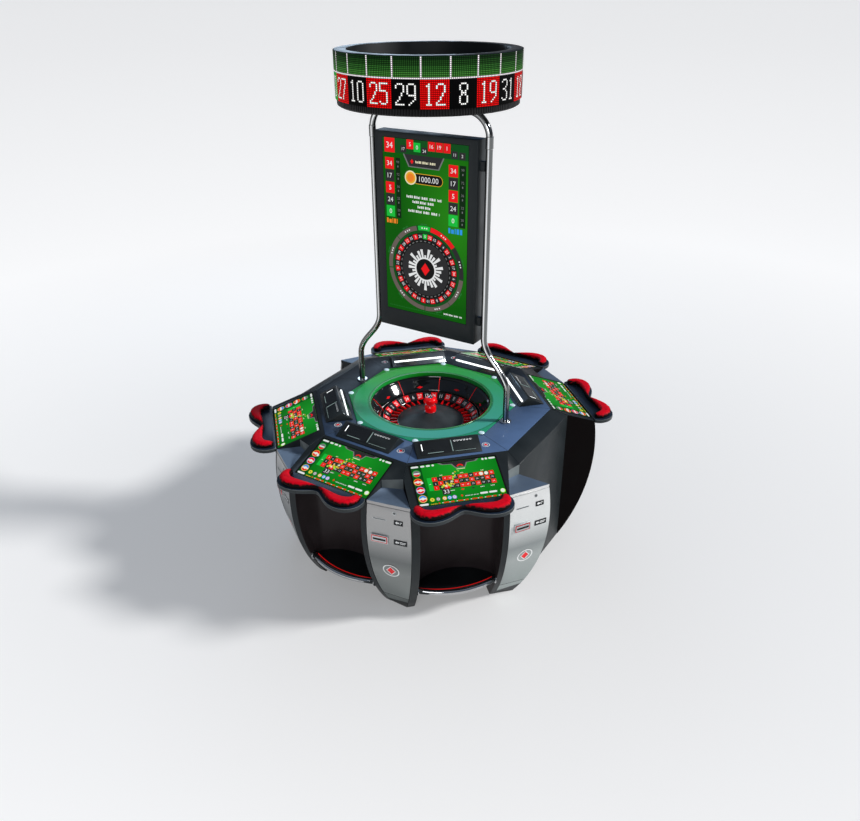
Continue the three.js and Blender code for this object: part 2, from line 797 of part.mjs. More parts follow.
const FINISH = {
  blackGloss: material(0x1a1e21, 0.25, 0.1),
  charcoal: material(0x2b3134, 0.5, 0.1),
  deck: material(0x1f2a38, 0.2, 0.3),
  green: material(0x1f9a2c, 0.25, 0.0),
  bowl: material(0x141618, 0.15, 0.1),
  red: material(0xe31820, 0.4, 0.0),
  pad: material(0xc8102a, 0.55, 0.0),
  chrome: material(0xd8dde0, 0.1, 1.0),
  steel: material(0x8f9698, 0.45, 0.9),
  silver: material(0xb9bfc1, 0.4, 0.7),
  rubber: material(0x18191a, 0.9, 0.0),
  screen: material(0x118a1d, 0.2, 0.0),
  band: material(0xc01414, 0.5, 0.0),
  ball: material(0xf4f1e8, 0.3, 0.0),
};

const table = new THREE.Group();

function add(name, shape, finish, angle = 0) {
  const geometry = shape.isBufferGeometry ? shape : geometryOf(shape);
  const mesh = new THREE.Mesh(geometry, FINISH[finish]);
  mesh.name = name;
  mesh.rotation.z = angle;
  table.add(mesh);
}

add("base_carcass", baseCarcass(), "charcoal");
add("deck_plate", deckPlate(), "deck");
add("wheel_surround", wheelSurround(), "green");
add("side_panel_east", blankSidePanel(), "charcoal", 90 * DEG);
add("side_panel_west", blankSidePanel(), "charcoal", -90 * DEG);

add("wheel_bowl", wheelBowl(), "bowl");
add("wheel_rotor", wheelRotor(), "bowl");
add("wheel_turret", wheelTurret(), "red");
add("rotor_spindle", post(SPINDLE, SPINDLE_FOOT, ROTOR_HUB_TOP, 0), "steel");
add("driven_pulley", ring(SPINDLE + GAP, DRIVEN_RADIUS, PULLEY_LOW, PULLEY_HIGH), "steel");
add("bearing_housing", bearingHousing(), "steel");
add("drive_motor", driveMotor(), "charcoal");
add("motor_pulley", motorPulley(), "steel");
add("drive_belt", driveBelt(), "rubber");
add("roulette_ball", wheelBall(), "ball");

const STATIONS = { a: 45, b: 0, c: -45, e: -135, f: 180, g: 135 }; // turn of each station, degrees
for (const [letter, turn] of Object.entries(STATIONS)) {
  const angle = turn * DEG;
  add(`station_${letter}_frame`, stationFrame(), "blackGloss", angle);
  add(`station_${letter}_screen`, stationScreen(), "screen", angle);
  add(`station_${letter}_console`, playerConsole(), "charcoal", angle);
  add(`station_${letter}_door`, moduleDoor(), "silver", angle);
  add(`station_${letter}_armrest_tray`, armrestTray(), "blackGloss", angle);
  add(`station_${letter}_armrest_pad`, armrestPad(), "pad", angle);
}

add("post_east", sidePost(1), "chrome");
add("post_west", sidePost(-1), "chrome");
add("top_arch", topArch(), "chrome");
add("display_housing", displayHousing(), "charcoal");
add("display_screen_front", displayScreen(-1), "screen");
add("display_screen_back", displayScreen(1), "screen");
add("sign_drum", signDrum(), "charcoal");
add("sign_led_band", signBand(), "band");

export default table;
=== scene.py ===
# Looks of the electronic roulette table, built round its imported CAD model.
# Lengths are in metres, and drawings on flat faces are in millimetres.
# A station is made once, as the one on the -Y side, and then turned to its place.
import math

import bmesh
import bpy
from mathutils import Matrix, Vector


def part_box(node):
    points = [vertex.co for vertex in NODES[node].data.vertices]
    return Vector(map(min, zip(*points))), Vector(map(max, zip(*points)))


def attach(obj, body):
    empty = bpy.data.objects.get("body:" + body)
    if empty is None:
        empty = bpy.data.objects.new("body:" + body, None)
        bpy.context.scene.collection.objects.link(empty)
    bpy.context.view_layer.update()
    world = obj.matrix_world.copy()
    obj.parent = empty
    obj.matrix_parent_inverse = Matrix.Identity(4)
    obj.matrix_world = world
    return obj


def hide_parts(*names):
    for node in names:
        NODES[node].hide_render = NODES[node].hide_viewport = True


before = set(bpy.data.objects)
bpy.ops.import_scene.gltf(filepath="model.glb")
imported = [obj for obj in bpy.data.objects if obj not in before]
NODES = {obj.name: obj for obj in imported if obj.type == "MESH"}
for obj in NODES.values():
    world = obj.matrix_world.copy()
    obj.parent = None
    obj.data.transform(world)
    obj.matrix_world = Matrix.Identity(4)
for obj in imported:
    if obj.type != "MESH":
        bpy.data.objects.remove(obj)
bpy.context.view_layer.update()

MM = 0.001
DEG = math.pi / 180
HALF_SIDE_ANGLE = 22.5 * DEG
SIDE_ANGLE = 45 * DEG
SLOPE = 20 * DEG
STATION_TURNS = {"a": 45, "b": 0, "c": -45, "e": -135, "f": 180, "g": 135}
TABLE = "table_body"

LOW, HIGH = {}, {}
for node_name in NODES:
    LOW[node_name], HIGH[node_name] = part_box(node_name)

DECK_TOP = HIGH["deck_plate"].z
SURROUND_TOP = HIGH["wheel_surround"].z
RED_NUMBERS = {1, 3, 5, 7, 9, 12, 14, 16, 18, 19, 21, 23, 25, 27, 30, 32, 34, 36}
DOUBLE_ZERO_ORDER = (
    "0 28 9 26 30 11 7 20 32 17 5 22 34 15 3 24 36 13 1 00 27 10 25 29 12 8 19 31 18 6 21 33 16 4 "
    "23 35 14 2"
).split()
SINGLE_ZERO_ORDER = (
    "0 32 15 19 4 21 2 25 17 34 6 27 13 36 11 30 8 23 10 5 24 16 33 1 20 14 31 9 22 18 29 7 28 12 "
    "35 3 26"
).split()


# Materials -----------------------------------------------------------------------------------

DARK_LIMIT = 0.06
DARK_SPECULAR = 0.22
SIGN_CELLS = 22
CELL_LAMPS = 15
LAMP_COLUMNS = SIGN_CELLS * CELL_LAMPS
LAMP_PITCH = 2 * math.pi * HIGH["sign_led_band"].x / LAMP_COLUMNS
# Rows of lamps are counted from z = 0, so that a row begins where the lit field does.
SIGN_FOOT = LOW["sign_led_band"].z + 0.0005
LAMP_ROW = SIGN_FOOT / 337
BASE_RIBS = 420
WHITE = (1, 1, 1, 1)


def rgba(colour, scale=1.0):
    return (*[min(1.0, channel * scale) for channel in colour], 1.0)


def new_material(name):
    material = bpy.data.materials.new(name)
    material.use_nodes = True
    tree = material.node_tree
    return material, tree, tree.nodes["Principled BSDF"]


# Sets a node's inputs, by name or number. A socket is linked, and anything else is a value.
def put(tree, node, inputs):
    for key, value in inputs.items():
        if isinstance(value, bpy.types.NodeSocket):
            tree.links.new(value, node.inputs[key])
        else:
            node.inputs[key].default_value = value


def add_node(tree, kind, inputs=None, **settings):
    node = tree.nodes.new("ShaderNode" + kind)
    for key, value in settings.items():
        setattr(node, key, value)
    put(tree, node, inputs or {})
    return node


def object_place(tree):
    return add_node(tree, "TexCoord").outputs["Object"]


def noise_of(tree, scale, detail=4.0, stretch=(1, 1, 1)):
    mapping = add_node(tree, "Mapping", {"Scale": stretch, "Vector": object_place(tree)})
    inputs = {"Scale": scale, "Detail": detail, "Vector": mapping.outputs["Vector"]}
    return add_node(tree, "TexNoise", inputs).outputs["Fac"]


# How far round the Z axis a point is, from 0 to 1.
def turn_of(tree):
    node = add_node(tree, "TexGradient", {"Vector": object_place(tree)}, gradient_type="RADIAL")
    return node.outputs["Fac"]


def ramp(tree, source, low, high, low_colour, high_colour, stops=()):
    node = add_node(tree, "ValToRGB", {"Fac": source})
    elements = node.color_ramp.elements
    elements[0].position, elements[0].color = low, low_colour
    elements[1].position, elements[1].color = high, high_colour
    for position, colour in stops:
        elements.new(position).color = colour
    return node.outputs["Color"]


def maths(tree, operation, *values):
    return add_node(tree, "Math", dict(enumerate(values)), operation=operation).outputs[0]


def projected(tree, vector, direction):
    return add_node(tree, "VectorMath", {0: vector, 1: direction}, operation="DOT_PRODUCT").outputs["Value"]


def map_range(tree, source, low, high, to_low=0.0, to_high=1.0):
    node = add_node(tree, "MapRange", {"Value": source, "From Min": low, "From Max": high, "To Min": to_low,
                                       "To Max": to_high})
    return node.outputs["Result"]


def multiplied(tree, one, other):
    inputs = {"Factor": 1.0, "A": one, "B": other}
    return add_node(tree, "Mix", inputs, data_type="RGBA", blend_type="MULTIPLY").outputs["Result"]


# Uneven gloss: a noise's middle range carried to a range of roughness.
def uneven(tree, source, low, high):
    return map_range(tree, source, 0.3, 0.7, low, high)


def bumped(tree, source, strength, distance):
    inputs = {"Strength": strength, "Distance": distance, "Height": source}
    return add_node(tree, "Bump", inputs).outputs["Normal"]


# A coated, moulded or metal surface: mottled colour, uneven gloss and a fine grain.
def surface(name, colour, rough, metal, coat, mottle, grain, bump, specular=None, stretch=(1, 1, 1)):
    material, tree, shader = new_material(name)
    if specular is None:
        specular = DARK_SPECULAR if max(colour) < DARK_LIMIT else 0.5
    cloud = noise_of(tree, 9.0)
    put(tree, shader, {
        "Base Color": ramp(tree, cloud, 0.3, 0.7, rgba(colour, 1 - mottle), rgba(colour, 1 + mottle)),
        "Roughness": uneven(tree, cloud, rough * 0.8, rough * 1.2),
        "Normal": bumped(tree, noise_of(tree, grain, 2.0, stretch), bump, 0.0004),
        "Specular IOR Level": specular, "Metallic": metal, "Coat Weight": coat, "Coat Roughness": 0.04})
    return material


# Satin-finished sheet: speckled, with painted reflections that make it darkest at the belly of the door's
# curve, and a painted highlight that makes it brighter towards +X.
def satin(name):
    material, tree, shader = new_material(name)
    split = add_node(tree, "SeparateXYZ", {"Vector": object_place(tree)})
    # Painted reflection: light and dark bands by height, in place of the studio's reflection in the sheet.
    painted_light_tone = ramp(tree, split.outputs["Z"], 0.1, 0.82, (0.36, 0.42, 0.41, 1), (0.8, 0.8, 0.79, 1),
                ((0.36, (0.46, 0.5, 0.49, 1)), (0.46, (0.3, 0.33, 0.33, 1)), (0.62, (0.78, 0.8, 0.79, 1))))
    speckle = noise_of(tree, 900.0, 2.0)
    fleck = ramp(tree, speckle, 0.35, 0.65, (0.78, 0.78, 0.78, 1), WHITE)
    # Painted highlight: the sheet grows brighter towards +X, as if lit from that side.
    side = ramp(tree, split.outputs["X"], 0.5, 0.82, (0.56, 0.55, 0.55, 1), WHITE)
    put(tree, shader, {
        "Base Color": multiplied(tree, multiplied(tree, painted_light_tone, fleck), side),
        "Metallic": 0.5, "Roughness": uneven(tree, speckle, 0.3, 0.42),
        "Normal": bumped(tree, speckle, 0.12, 0.0003)})
    return material


# A lit surface, slightly uneven.
def lit(name, colour, strength):
    material, tree, shader = new_material(name)
    glow = ramp(tree, noise_of(tree, 6.0), 0.25, 0.75, rgba(colour, 0.86), rgba(colour, 1.1))
    put(tree, shader, {"Base Color": rgba(colour, 0.08), "Specular IOR Level": 0.06, "Roughness": 0.2,
                       "Emission Color": glow, "Emission Strength": strength})
    return material


# Lamps of the round sign: dots in rows round the Z axis, with dark gaps between them.
def lamp_grid(name, colour, strength, gap=0.26):
    material, tree, shader = new_material(name)
    height = add_node(tree, "SeparateXYZ", {"Vector": object_place(tree)}).outputs["Z"]
    waves = [maths(tree, "PINGPONG", maths(tree, "MULTIPLY", source, scale), 1.0)
             for source, scale in ((turn_of(tree), LAMP_COLUMNS * 2), (height, 2 / LAMP_ROW))]
    glow = ramp(tree, maths(tree, "MINIMUM", *waves), gap, gap + 0.3, rgba(colour, 0.05), rgba(colour, 1.0))
    put(tree, shader, {"Base Color": rgba(colour, 0.03), "Specular IOR Level": 0.03, "Roughness": 0.6,
                       "Emission Color": glow, "Emission Strength": strength})
    return material


# A coated surface with a painted sheen: its colour runs from one tone to another along a direction,
# in place of the light that falls on it.
def shaded(name, near, far, towards, reach, rough, start=0.0):
    material, tree, shader = new_material(name)
    share = map_range(tree, projected(tree, object_place(tree), towards), -reach, reach)
    cloud = noise_of(tree, 7.0)
    total = maths(tree, "ADD", share, maths(tree, "MULTIPLY_ADD", cloud, 0.35, -0.17))
    put(tree, shader, {
        "Base Color": ramp(tree, total, start, 1.0, rgba(near), rgba(far)),
        "Roughness": uneven(tree, cloud, rough * 0.85, rough * 1.15), "Specular IOR Level": 0.1})
    return material


# Bright metal tube with painted reflections: dark, with light streaks painted along the sides that face a
# studio's lamps.
def streaked(name):
    material, tree, shader = new_material(name)
    normal = add_node(tree, "TexCoord").outputs["Normal"]
    share = map_range(tree, projected(tree, normal, (0.86, -0.5, 0)), -1.0, 1.0)
    streaks = ((0.42, 0.14), (0.6, 0.1), (0.72, 0.16), (0.8, 0.8), (0.86, 0.85), (0.92, 0.2))
    painted_light_tone = ramp(tree, share, 0.0, 1.0, (0.2, 0.21, 0.2, 1), (0.16, 0.17, 0.17, 1),
                [(position, (grey, grey * 1.02, grey * 1.02, 1)) for position, grey in streaks])
    put(tree, shader, {"Base Color": painted_light_tone, "Metallic": 1.0,
                       "Roughness": uneven(tree, noise_of(tree, 60.0, 3.0), 0.1, 0.2)})
    return material


# A glossy piece given a painted glow, like resin with light shining through it, though it holds no lamp.
def glowing(material, colour, strength):
    shader = material.node_tree.nodes["Principled BSDF"]
    put(material.node_tree, shader, {"Emission Color": rgba(colour), "Emission Strength": strength})


# Picture of green baize on a screen, brightest at its centre.
def lit_felt(name, centre, reach, bright, dark, strength):
    material, tree, shader = new_material(name)
    inputs = {"Location": centre, "Scale": reach, "Vector": object_place(tree)}
    mapping = add_node(tree, "Mapping", inputs, vector_type="TEXTURE")
    glow = add_node(tree, "TexGradient", {"Vector": mapping.outputs["Vector"]}, gradient_type="SPHERICAL")
    put(tree, shader, {
        "Base Color": rgba(dark, 0.4), "Specular IOR Level": 0.06, "Roughness": 0.18,
        "Emission Color": ramp(tree, glow.outputs["Fac"], 0.0, 1.0, rgba(dark), rgba(bright)),
        "Emission Strength": strength})
    return material


# Padded vinyl with painted shade: bright red on the crown, breaking up into black towards its foot,
# its edges and the crease between its lobes.
def pad_vinyl():
    material, tree, shader = new_material("pad_vinyl")
    edge = add_node(tree, "Attribute", attribute_name="painted_light_share").outputs["Fac"]
    spread = maths(tree, "MULTIPLY_ADD", noise_of(tree, 62.0, 2.0), 1.0, -0.5)
    painted_light_tone = ramp(tree, maths(tree, "ADD", edge, spread), 0.42, 0.95, (0.004, 0.002, 0.002, 1),
                (0.6, 0.001, 0.011, 1), ((0.62, (0.24, 0.001, 0.006, 1)),))
    leather = noise_of(tree, 900.0, 3.0)
    put(tree, shader, {
        "Base Color": painted_light_tone, "Specular IOR Level": 0.07, "Roughness": uneven(tree, leather, 0.45, 0.6),
        "Normal": bumped(tree, leather, 0.35, 0.0006)})
    return material


# Ventilation ribs on the sign's dark base, with painted shade darkening the grooves between them.
def ribbed(name, colour):
    material, tree, shader = new_material(name)
    ribs = maths(tree, "MULTIPLY", maths(tree, "PINGPONG", turn_of(tree), 1 / BASE_RIBS), BASE_RIBS)
    put(tree, shader, {
        "Base Color": ramp(tree, ribs, 0.3, 0.7, rgba(colour, 0.2), rgba(colour, 1.1)),
        "Normal": bumped(tree, ribs, 0.8, 0.003), "Roughness": 0.5, "Specular IOR Level": 0.08})
    return material


# Material name, colour, roughness, metal, coat, mottle, grain, bump, and specular where it's set.
SURFACES = {
    "charcoal": ("charcoal", (0.012, 0.016, 0.018), 0.42, 0, 0, 0.15, 700, 0.12),
    # Painted shade: the left cheeks are painted near black, with little gloss.
    "cheek": ("cheek_black", (0.003, 0.002, 0.002), 0.75, 0, 0, 0.3, 400, 0.06, 0.05),
    "console": ("console_shell", (0.014, 0.018, 0.019), 0.4, 0, 0, 0.15, 700, 0.1),
    "leg_panel": ("leg_panel_gloss", (0.027, 0.021, 0.022), 0.42, 0, 0, 0.12, 700, 0.04),
    # Painted reflection: the module tops are grey metal tinted blue for the blue light that falls on them.
    "bay_top": ("bay_top_blue", (0.1, 0.14, 0.2), 0.42, 0.35, 0, 0.12, 500, 0.4),
    "bay_back": ("bay_back_grey", (0.13, 0.15, 0.15), 0.4, 0.3, 0, 0.2, 300, 0.1),
    "shelf": ("foot_shelf_black", (0.006, 0.007, 0.008), 0.35, 0, 0.2, 0.3, 500, 0.25),
    "green_dark": ("surround_line", (0.003, 0.05, 0.008), 0.3, 0.1, 0.1, 0.2, 300, 0.05),
    "green_light": ("surround_rim", (0.02, 0.2, 0.04), 0.3, 0.1, 0, 0.2, 300, 0.05),
    "bowl": ("bowl_gloss", (0.004, 0.005, 0.006), 0.1, 0, 0.6, 0.3, 30, 0.02),
    "cone": ("cone_grey", (0.034, 0.04, 0.043), 0.4, 0, 0, 0.3, 200, 0.08),
    "red": ("red_gloss", (0.78, 0.003, 0.006), 0.25, 0, 0.15, 0.15, 300, 0.05, 0.2),
    "turret_red": ("turret_red", (0.75, 0.003, 0.006), 0.14, 0, 0.35, 0.15, 300, 0.03, 0.3),
    "stud": ("stud_pale", (0.6, 0.78, 0.84), 0.25, 0, 0.4, 0.08, 300, 0.03),
    "pocket_black": ("pocket_black", (0.01, 0.01, 0.012), 0.3, 0, 0.3, 0.2, 300, 0.08),
    "chrome": ("chrome", (0.5, 0.51, 0.52), 0.1, 1, 0, 0.04, 90, 0.02),
    "mirror_grey": ("mirror_grey", (0.2, 0.22, 0.23), 0.18, 0.9, 0, 0.15, 200, 0.03),
    "steel": ("turned_steel", (0.5, 0.52, 0.53), 0.32, 1, 0, 0.1, 900, 0.3, None, (1, 1, 12)),
    "silver_edge": ("silver_edge", (0.5, 0.53, 0.54), 0.28, 0.9, 0, 0.1, 400, 0.1),
    "slot_black": ("slot_black", (0.004, 0.004, 0.004), 0.5, 0, 0, 0.2, 500, 0.2),
    "label_black": ("label_black", (0.01, 0.012, 0.014), 0.3, 0, 0.2, 0.2, 500, 0.05),
    "print_white": ("print_white", (0.8, 0.81, 0.8), 0.4, 0, 0, 0.05, 600, 0.05),
    "ivory": ("ball_ivory", (0.86, 0.84, 0.78), 0.15, 0, 0.6, 0.04, 200, 0.03),
    "motor": ("motor_black", (0.03, 0.032, 0.035), 0.4, 0.6, 0, 0.2, 500, 0.25),
    "rubber": ("belt_rubber", (0.012, 0.012, 0.012), 0.8, 0, 0, 0.2, 900, 0.5),
    "navy": ("sign_navy", (0.03, 0.045, 0.075), 0.3, 0.4, 0.3, 0.25, 500, 0.1),
    "sign_inside": ("sign_inside", (0.004, 0.005, 0.006), 0.45, 0, 0.1, 0.3, 400, 0.2),
    "display_top": ("display_top", (0.01, 0.02, 0.038), 0.5, 0, 0, 0.2, 400, 0.1, 0.1),
    "rim_dark": ("rim_dark", (0.08, 0.085, 0.09), 0.3, 0.7, 0, 0.2, 400, 0.1),
    "sign_lip": ("sign_lip", (0.006, 0.01, 0.014), 0.5, 0, 0, 0.2, 500, 0.1, 0.1),
    # Painted sheen: the tray's flat faces are navy for the blue light on them.
    "tray": ("tray_navy", (0.012, 0.022, 0.04), 0.36, 0.2, 0, 0.2, 200, 0.05),
    # Painted highlight: a light line along the tray's upper edge.
    "tray_edge": ("tray_edge", (0.12, 0.135, 0.14), 0.3, 0.3, 0, 0.2, 500, 0.08),
    "tray_rim": ("tray_rim", (0.028, 0.034, 0.036), 0.4, 0.1, 0, 0.2, 500, 0.08),
}
# Colour and strength.
LIT = {
    "lamp_white": ((0.9, 0.97, 1.0), 2.2), "lamp_red": ((0.8, 0.015, 0.015), 0.55),
    "lamp_dim": ((0.55, 0.75, 0.72), 0.5), "px_white": ((0.85, 0.87, 0.87), 0.85),
    "px_grey": ((0.3, 0.31, 0.31), 0.5), "px_black": ((0.012, 0.012, 0.012), 0.4),
    "px_tile": ((0.028, 0.028, 0.03), 0.8), "px_red": ((0.85, 0.008, 0.012), 0.9),
    "px_green": ((0.01, 0.55, 0.05), 0.8), "px_deep": ((0.005, 0.11, 0.015), 0.6),
    "px_shade": ((0.004, 0.035, 0.006), 0.5), "px_line": ((0.03, 0.28, 0.05), 0.5),
    "px_gold": ((0.8, 0.42, 0.03), 0.9), "px_orange": ((0.85, 0.22, 0.02), 0.9),
    "px_yellow": ((0.8, 0.72, 0.05), 0.9), "px_blue": ((0.03, 0.3, 0.8), 0.9),
    "px_purple": ((0.4, 0.3, 0.75), 0.9), "px_cream": ((0.85, 0.8, 0.55), 0.9),
    "px_lime": ((0.4, 0.85, 0.05), 0.9), "px_brown": ((0.2, 0.16, 0.14), 0.6),
}
# Colour, strength, and the gap between lamps where it's set.
LAMPS = {
    "led_red": ((1.0, 0.002, 0.003), 1.25, 0.3), "led_black": ((0.004, 0.004, 0.004), 0.4),
    "led_green_1": ((0.07, 0.3, 0.045), 1.0, 0.3), "led_green_2": ((0.04, 0.19, 0.03), 1.0, 0.3),
    "led_green_3": ((0.02, 0.1, 0.016), 1.0, 0.3), "led_green_4": ((0.009, 0.045, 0.01), 1.0, 0.3),
    "led_zero": ((0.02, 0.7, 0.06), 1.0, 0.3), "led_white": ((0.95, 0.95, 0.93), 1.3, 0.16),
    "led_line": ((0.85, 0.8, 0.83), 1.3, 0.2),
}
PAINT = {key: surface(*row) for key, row in SURFACES.items()}
PAINT.update({key: lit(key, *row) for key, row in LIT.items()})
PAINT.update({key: lamp_grid(key, *row) for key, row in LAMPS.items()})
PAINT.update({
    # Painted sheen: the deck lightens to blue towards the front right, and the surround and its band turn
    # from green to teal.
    "deck": shaded("deck_gloss_painted_sheen", (0.008, 0.012, 0.018), (0.075, 0.13, 0.25), (0.8, -0.6, 0), 0.55, 0.36,
                   start=0.42),
    "green": shaded("surround_green_painted_sheen", (0.006, 0.26, 0.01), (0.02, 0.25, 0.14), (0.6, -0.8, 0), 0.42, 0.4),
    "green_sheen_band": shaded("surround_band_painted_sheen", (0.012, 0.3, 0.016), (0.05, 0.33, 0.26), (0.7, -0.71, 0), 0.42,
                         0.38),
    "post": streaked("post_chrome_painted_streaks"),
    "silver": satin("satin_silver_painted_sheen"),
    "sign_base": ribbed("sign_base", (0.012, 0.012, 0.013)),
    "pad": pad_vinyl(),
    "felt": lit_felt("felt", (-0.03, -0.74, DECK_TOP), (0.3, 0.26, 0.3), (0.01, 0.3, 0.02),
                     (0.001, 0.12, 0.005), 0.9),
    "display_felt": lit_felt("display_felt", (0.19, 0, 2.06), (0.36, 0.5, 0.5), (0.02, 0.235, 0.006),
                             (0.001, 0.082, 0.0), 0.85),
})
# Painted glow on the turret's red resin.
glowing(PAINT["turret_red"], (0.9, 0.004, 0.006), 0.18)


# Mesh building -------------------------------------------------------------------------------

def add_object(name, data):
    made = bpy.data.objects.new(name, data)
    bpy.context.scene.collection.objects.link(made)
    return made


def finish_piece(piece, body, smooth=32):
    piece.data.shade_smooth()
    piece.data.set_sharp_from_angle(angle=smooth * DEG)
    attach(piece, body)
    return piece


# A mesh piece, turned about the Z axis. With own_frame the turn stays on the object, so that its
# material's coordinates are the same at every station.
def make_piece(name, verts, faces, paints, body, indices=None, turn=0, smooth=32,
               own_frame=False):
    if not own_frame:
        spin = Matrix.Rotation(turn * DEG, 4, "Z")
        verts = [spin @ Vector(vert) for vert in verts]
        turn = 0
    mesh = bpy.data.meshes.new(name)
    mesh.from_pydata(verts, [], faces)
    for paint in paints:
        mesh.materials.append(PAINT[paint])
    if indices:
        mesh.polygons.foreach_set("material_index", indices)
    tidy = bmesh.new()
    tidy.from_mesh(mesh)
    bmesh.ops.recalc_face_normals(tidy, faces=tidy.faces)
    tidy.to_mesh(mesh)
    tidy.free()
    mesh.update()
    piece = add_object(name, mesh)
    piece.rotation_euler.z = turn * DEG
    return finish_piece(piece, body, smooth)


def round_turns(steps):
    return [2 * math.pi * step / steps for step in range(steps)]


# Faces of a closed ring made of closed profiles of count points each.
def ring_faces(count, steps):
    faces = []
    for step in range(steps):
        this, after = step * count, ((step + 1) % steps) * count
        for i in range(count):
            j = (i + 1) % count
            faces.append((this + i, after + i, after + j, this + j))
    return faces


# A closed profile of (radius, z) turned round the Z axis. paint_of(i) picks each side's paint.
def lathe(name, profile, paints, body, steps=128, paint_of=None):
    verts = [(radius * math.cos(angle), radius * math.sin(angle), z)
             for angle in round_turns(steps) for radius, z in profile]
    indices = [paint_of(i) for i in range(len(profile))] * steps if paint_of else None
    return make_piece(name, verts, ring_faces(len(profile), steps), paints, body, indices)


# A profile of (radius, z) that begins and ends on an upright axis at x, y, turned round it.
def revolved(name, profile, paint, body, steps, x=0, y=0):
    rings = profile[1:-1]
    verts = [(x, y, profile[0][1])]
    verts += [(x + radius * math.cos(angle), y + radius * math.sin(angle), z)
              for radius, z in rings for angle in round_turns(steps)]
    verts.append((x, y, profile[-1][1]))
    faces = []
    for step in range(steps):
        after = (step + 1) % steps
        faces.append((0, 1 + after, 1 + step))
        for row in range(len(rings) - 1):
            a = 1 + row * steps
            faces.append((a + step, a + after, a + steps + after, a + steps + step))
        top = 1 + (len(rings) - 1) * steps
        faces.append((top + step, top + after, len(verts) - 1))
    return make_piece(name, verts, faces, [paint], body)


def dome(name, x, y, z, radius, high, paint, body, steps=32, rows=8):
    lifts = [row / rows * math.pi / 2 for row in range(rows)]
    profile = [(0, z)] + [(radius * math.cos(lift), z + high * math.sin(lift)) for lift in lifts]
    return revolved(name, profile + [(0, z + high)], paint, body, steps, x, y)


def sphere(name, centre, radius, around, rows, paint, body):
    mesh = bmesh.new()
    bmesh.ops.create_uvsphere(mesh, u_segments=around, v_segments=rows, radius=radius,
                              matrix=Matrix.Translation(centre))
    data = bpy.data.meshes.new(name)
    mesh.to_mesh(data)
    mesh.free()
    data.materials.append(PAINT[paint])
    return finish_piece(add_object(name, data), body)


# A tube along points, with closed ends.
def tube(name, points, radius, paint, body, turn=0, sides=24):
    verts = []
    faces = []
    path = [Vector(point) for point in points]
    across = Vector((0, 1, 0)) if abs((path[1] - path[0]).normalized().y) < 0.9 else Vector((0, 0, 1))
    for i, point in enumerate(path):
        along = path[min(i + 1, len(path) - 1)] - path[max(i - 1, 0)]
        along.normalize()
        across = (across - along * across.dot(along)).normalized()
        other = along.cross(across)
        for angle in round_turns(sides):
            verts.append(point + (across * math.cos(angle) + other * math.sin(angle)) * radius)
    for i in range(len(path) - 1):
        for side in range(sides):
            a = i * sides + side
            b = i * sides + (side + 1) % sides
            faces.append((a, b, b + sides, a + sides))
    faces.append(tuple(range(sides)))
    faces.append(tuple(reversed(range(len(verts) - sides, len(verts)))))
    return make_piece(name, verts, faces, [paint], body, turn=turn)


# A CAD node's mesh with rounded edges. paint_of(centre, normal) picks each face's paint.
def refined(node, paints, body=TABLE, round_edge=0.002, paint_of=None, smooth=32):
    source = NODES[node]
    mesh = bmesh.new()
    mesh.from_mesh(source.data)
    bmesh.ops.remove_doubles(mesh, verts=mesh.verts, dist=0.00002)
    bmesh.ops.dissolve_limit(mesh, angle_limit=0.5 * DEG, verts=mesh.verts, edges=mesh.edges)
    if round_edge:
        sharp = [edge for edge in mesh.edges if edge.calc_face_angle(0) > 30 * DEG]
        bmesh.ops.bevel(mesh, geom=sharp, offset=round_edge, segments=2, profile=0.5, affect="EDGES",
                        clamp_overlap=True)
    data = bpy.data.meshes.new(node + "_skin")
    for paint in paints:
        data.materials.append(PAINT[paint])
    mesh.faces.ensure_lookup_table()
    for face in mesh.faces:
        face.material_index = paint_of(face.calc_center_median(), face.normal) if paint_of else 0
    mesh.to_mesh(data)
    mesh.free()
    piece = finish_piece(add_object(node + "_skin", data), body, smooth)
    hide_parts(node)
    return piece


GLYPHS = {}


# A word as closed raised letters, centred, one unit high. Used for numbers only.
def word_shape(word):
    if word in GLYPHS:
        return GLYPHS[word]
    curve = bpy.data.curves.new("word", "FONT")
    curve.body = word
    curve.extrude = 0.5
    curve.resolution_u = 3
    holder = add_object("word", curve)
    bpy.context.view_layer.update()
    mesh = bpy.data.meshes.new_from_object(holder.evaluated_get(bpy.context.evaluated_depsgraph_get()))
    bpy.data.objects.remove(holder)
    bpy.data.curves.remove(curve)
    merged = bmesh.new()
    merged.from_mesh(mesh)
    bmesh.ops.remove_doubles(merged, verts=merged.verts, dist=0.0001)
    merged.to_mesh(mesh)
    merged.free()
    points = [vertex.co.copy() for vertex in mesh.vertices]
    faces = [tuple(face.vertices) for face in mesh.polygons]
    bpy.data.meshes.remove(mesh)
    low = [min(point[axis] for point in points) for axis in (0, 1)]
    high = [max(point[axis] for point in points) for axis in (0, 1)]
    tall = high[1] - low[1]
    middle = ((low[0] + high[0]) / 2, (low[1] + high[1]) / 2)
    flat = [((p.x - middle[0]) / tall, (p.y - middle[1]) / tall, p.z > 0) for p in points]
    GLYPHS[word] = (flat, faces)
    return GLYPHS[word]


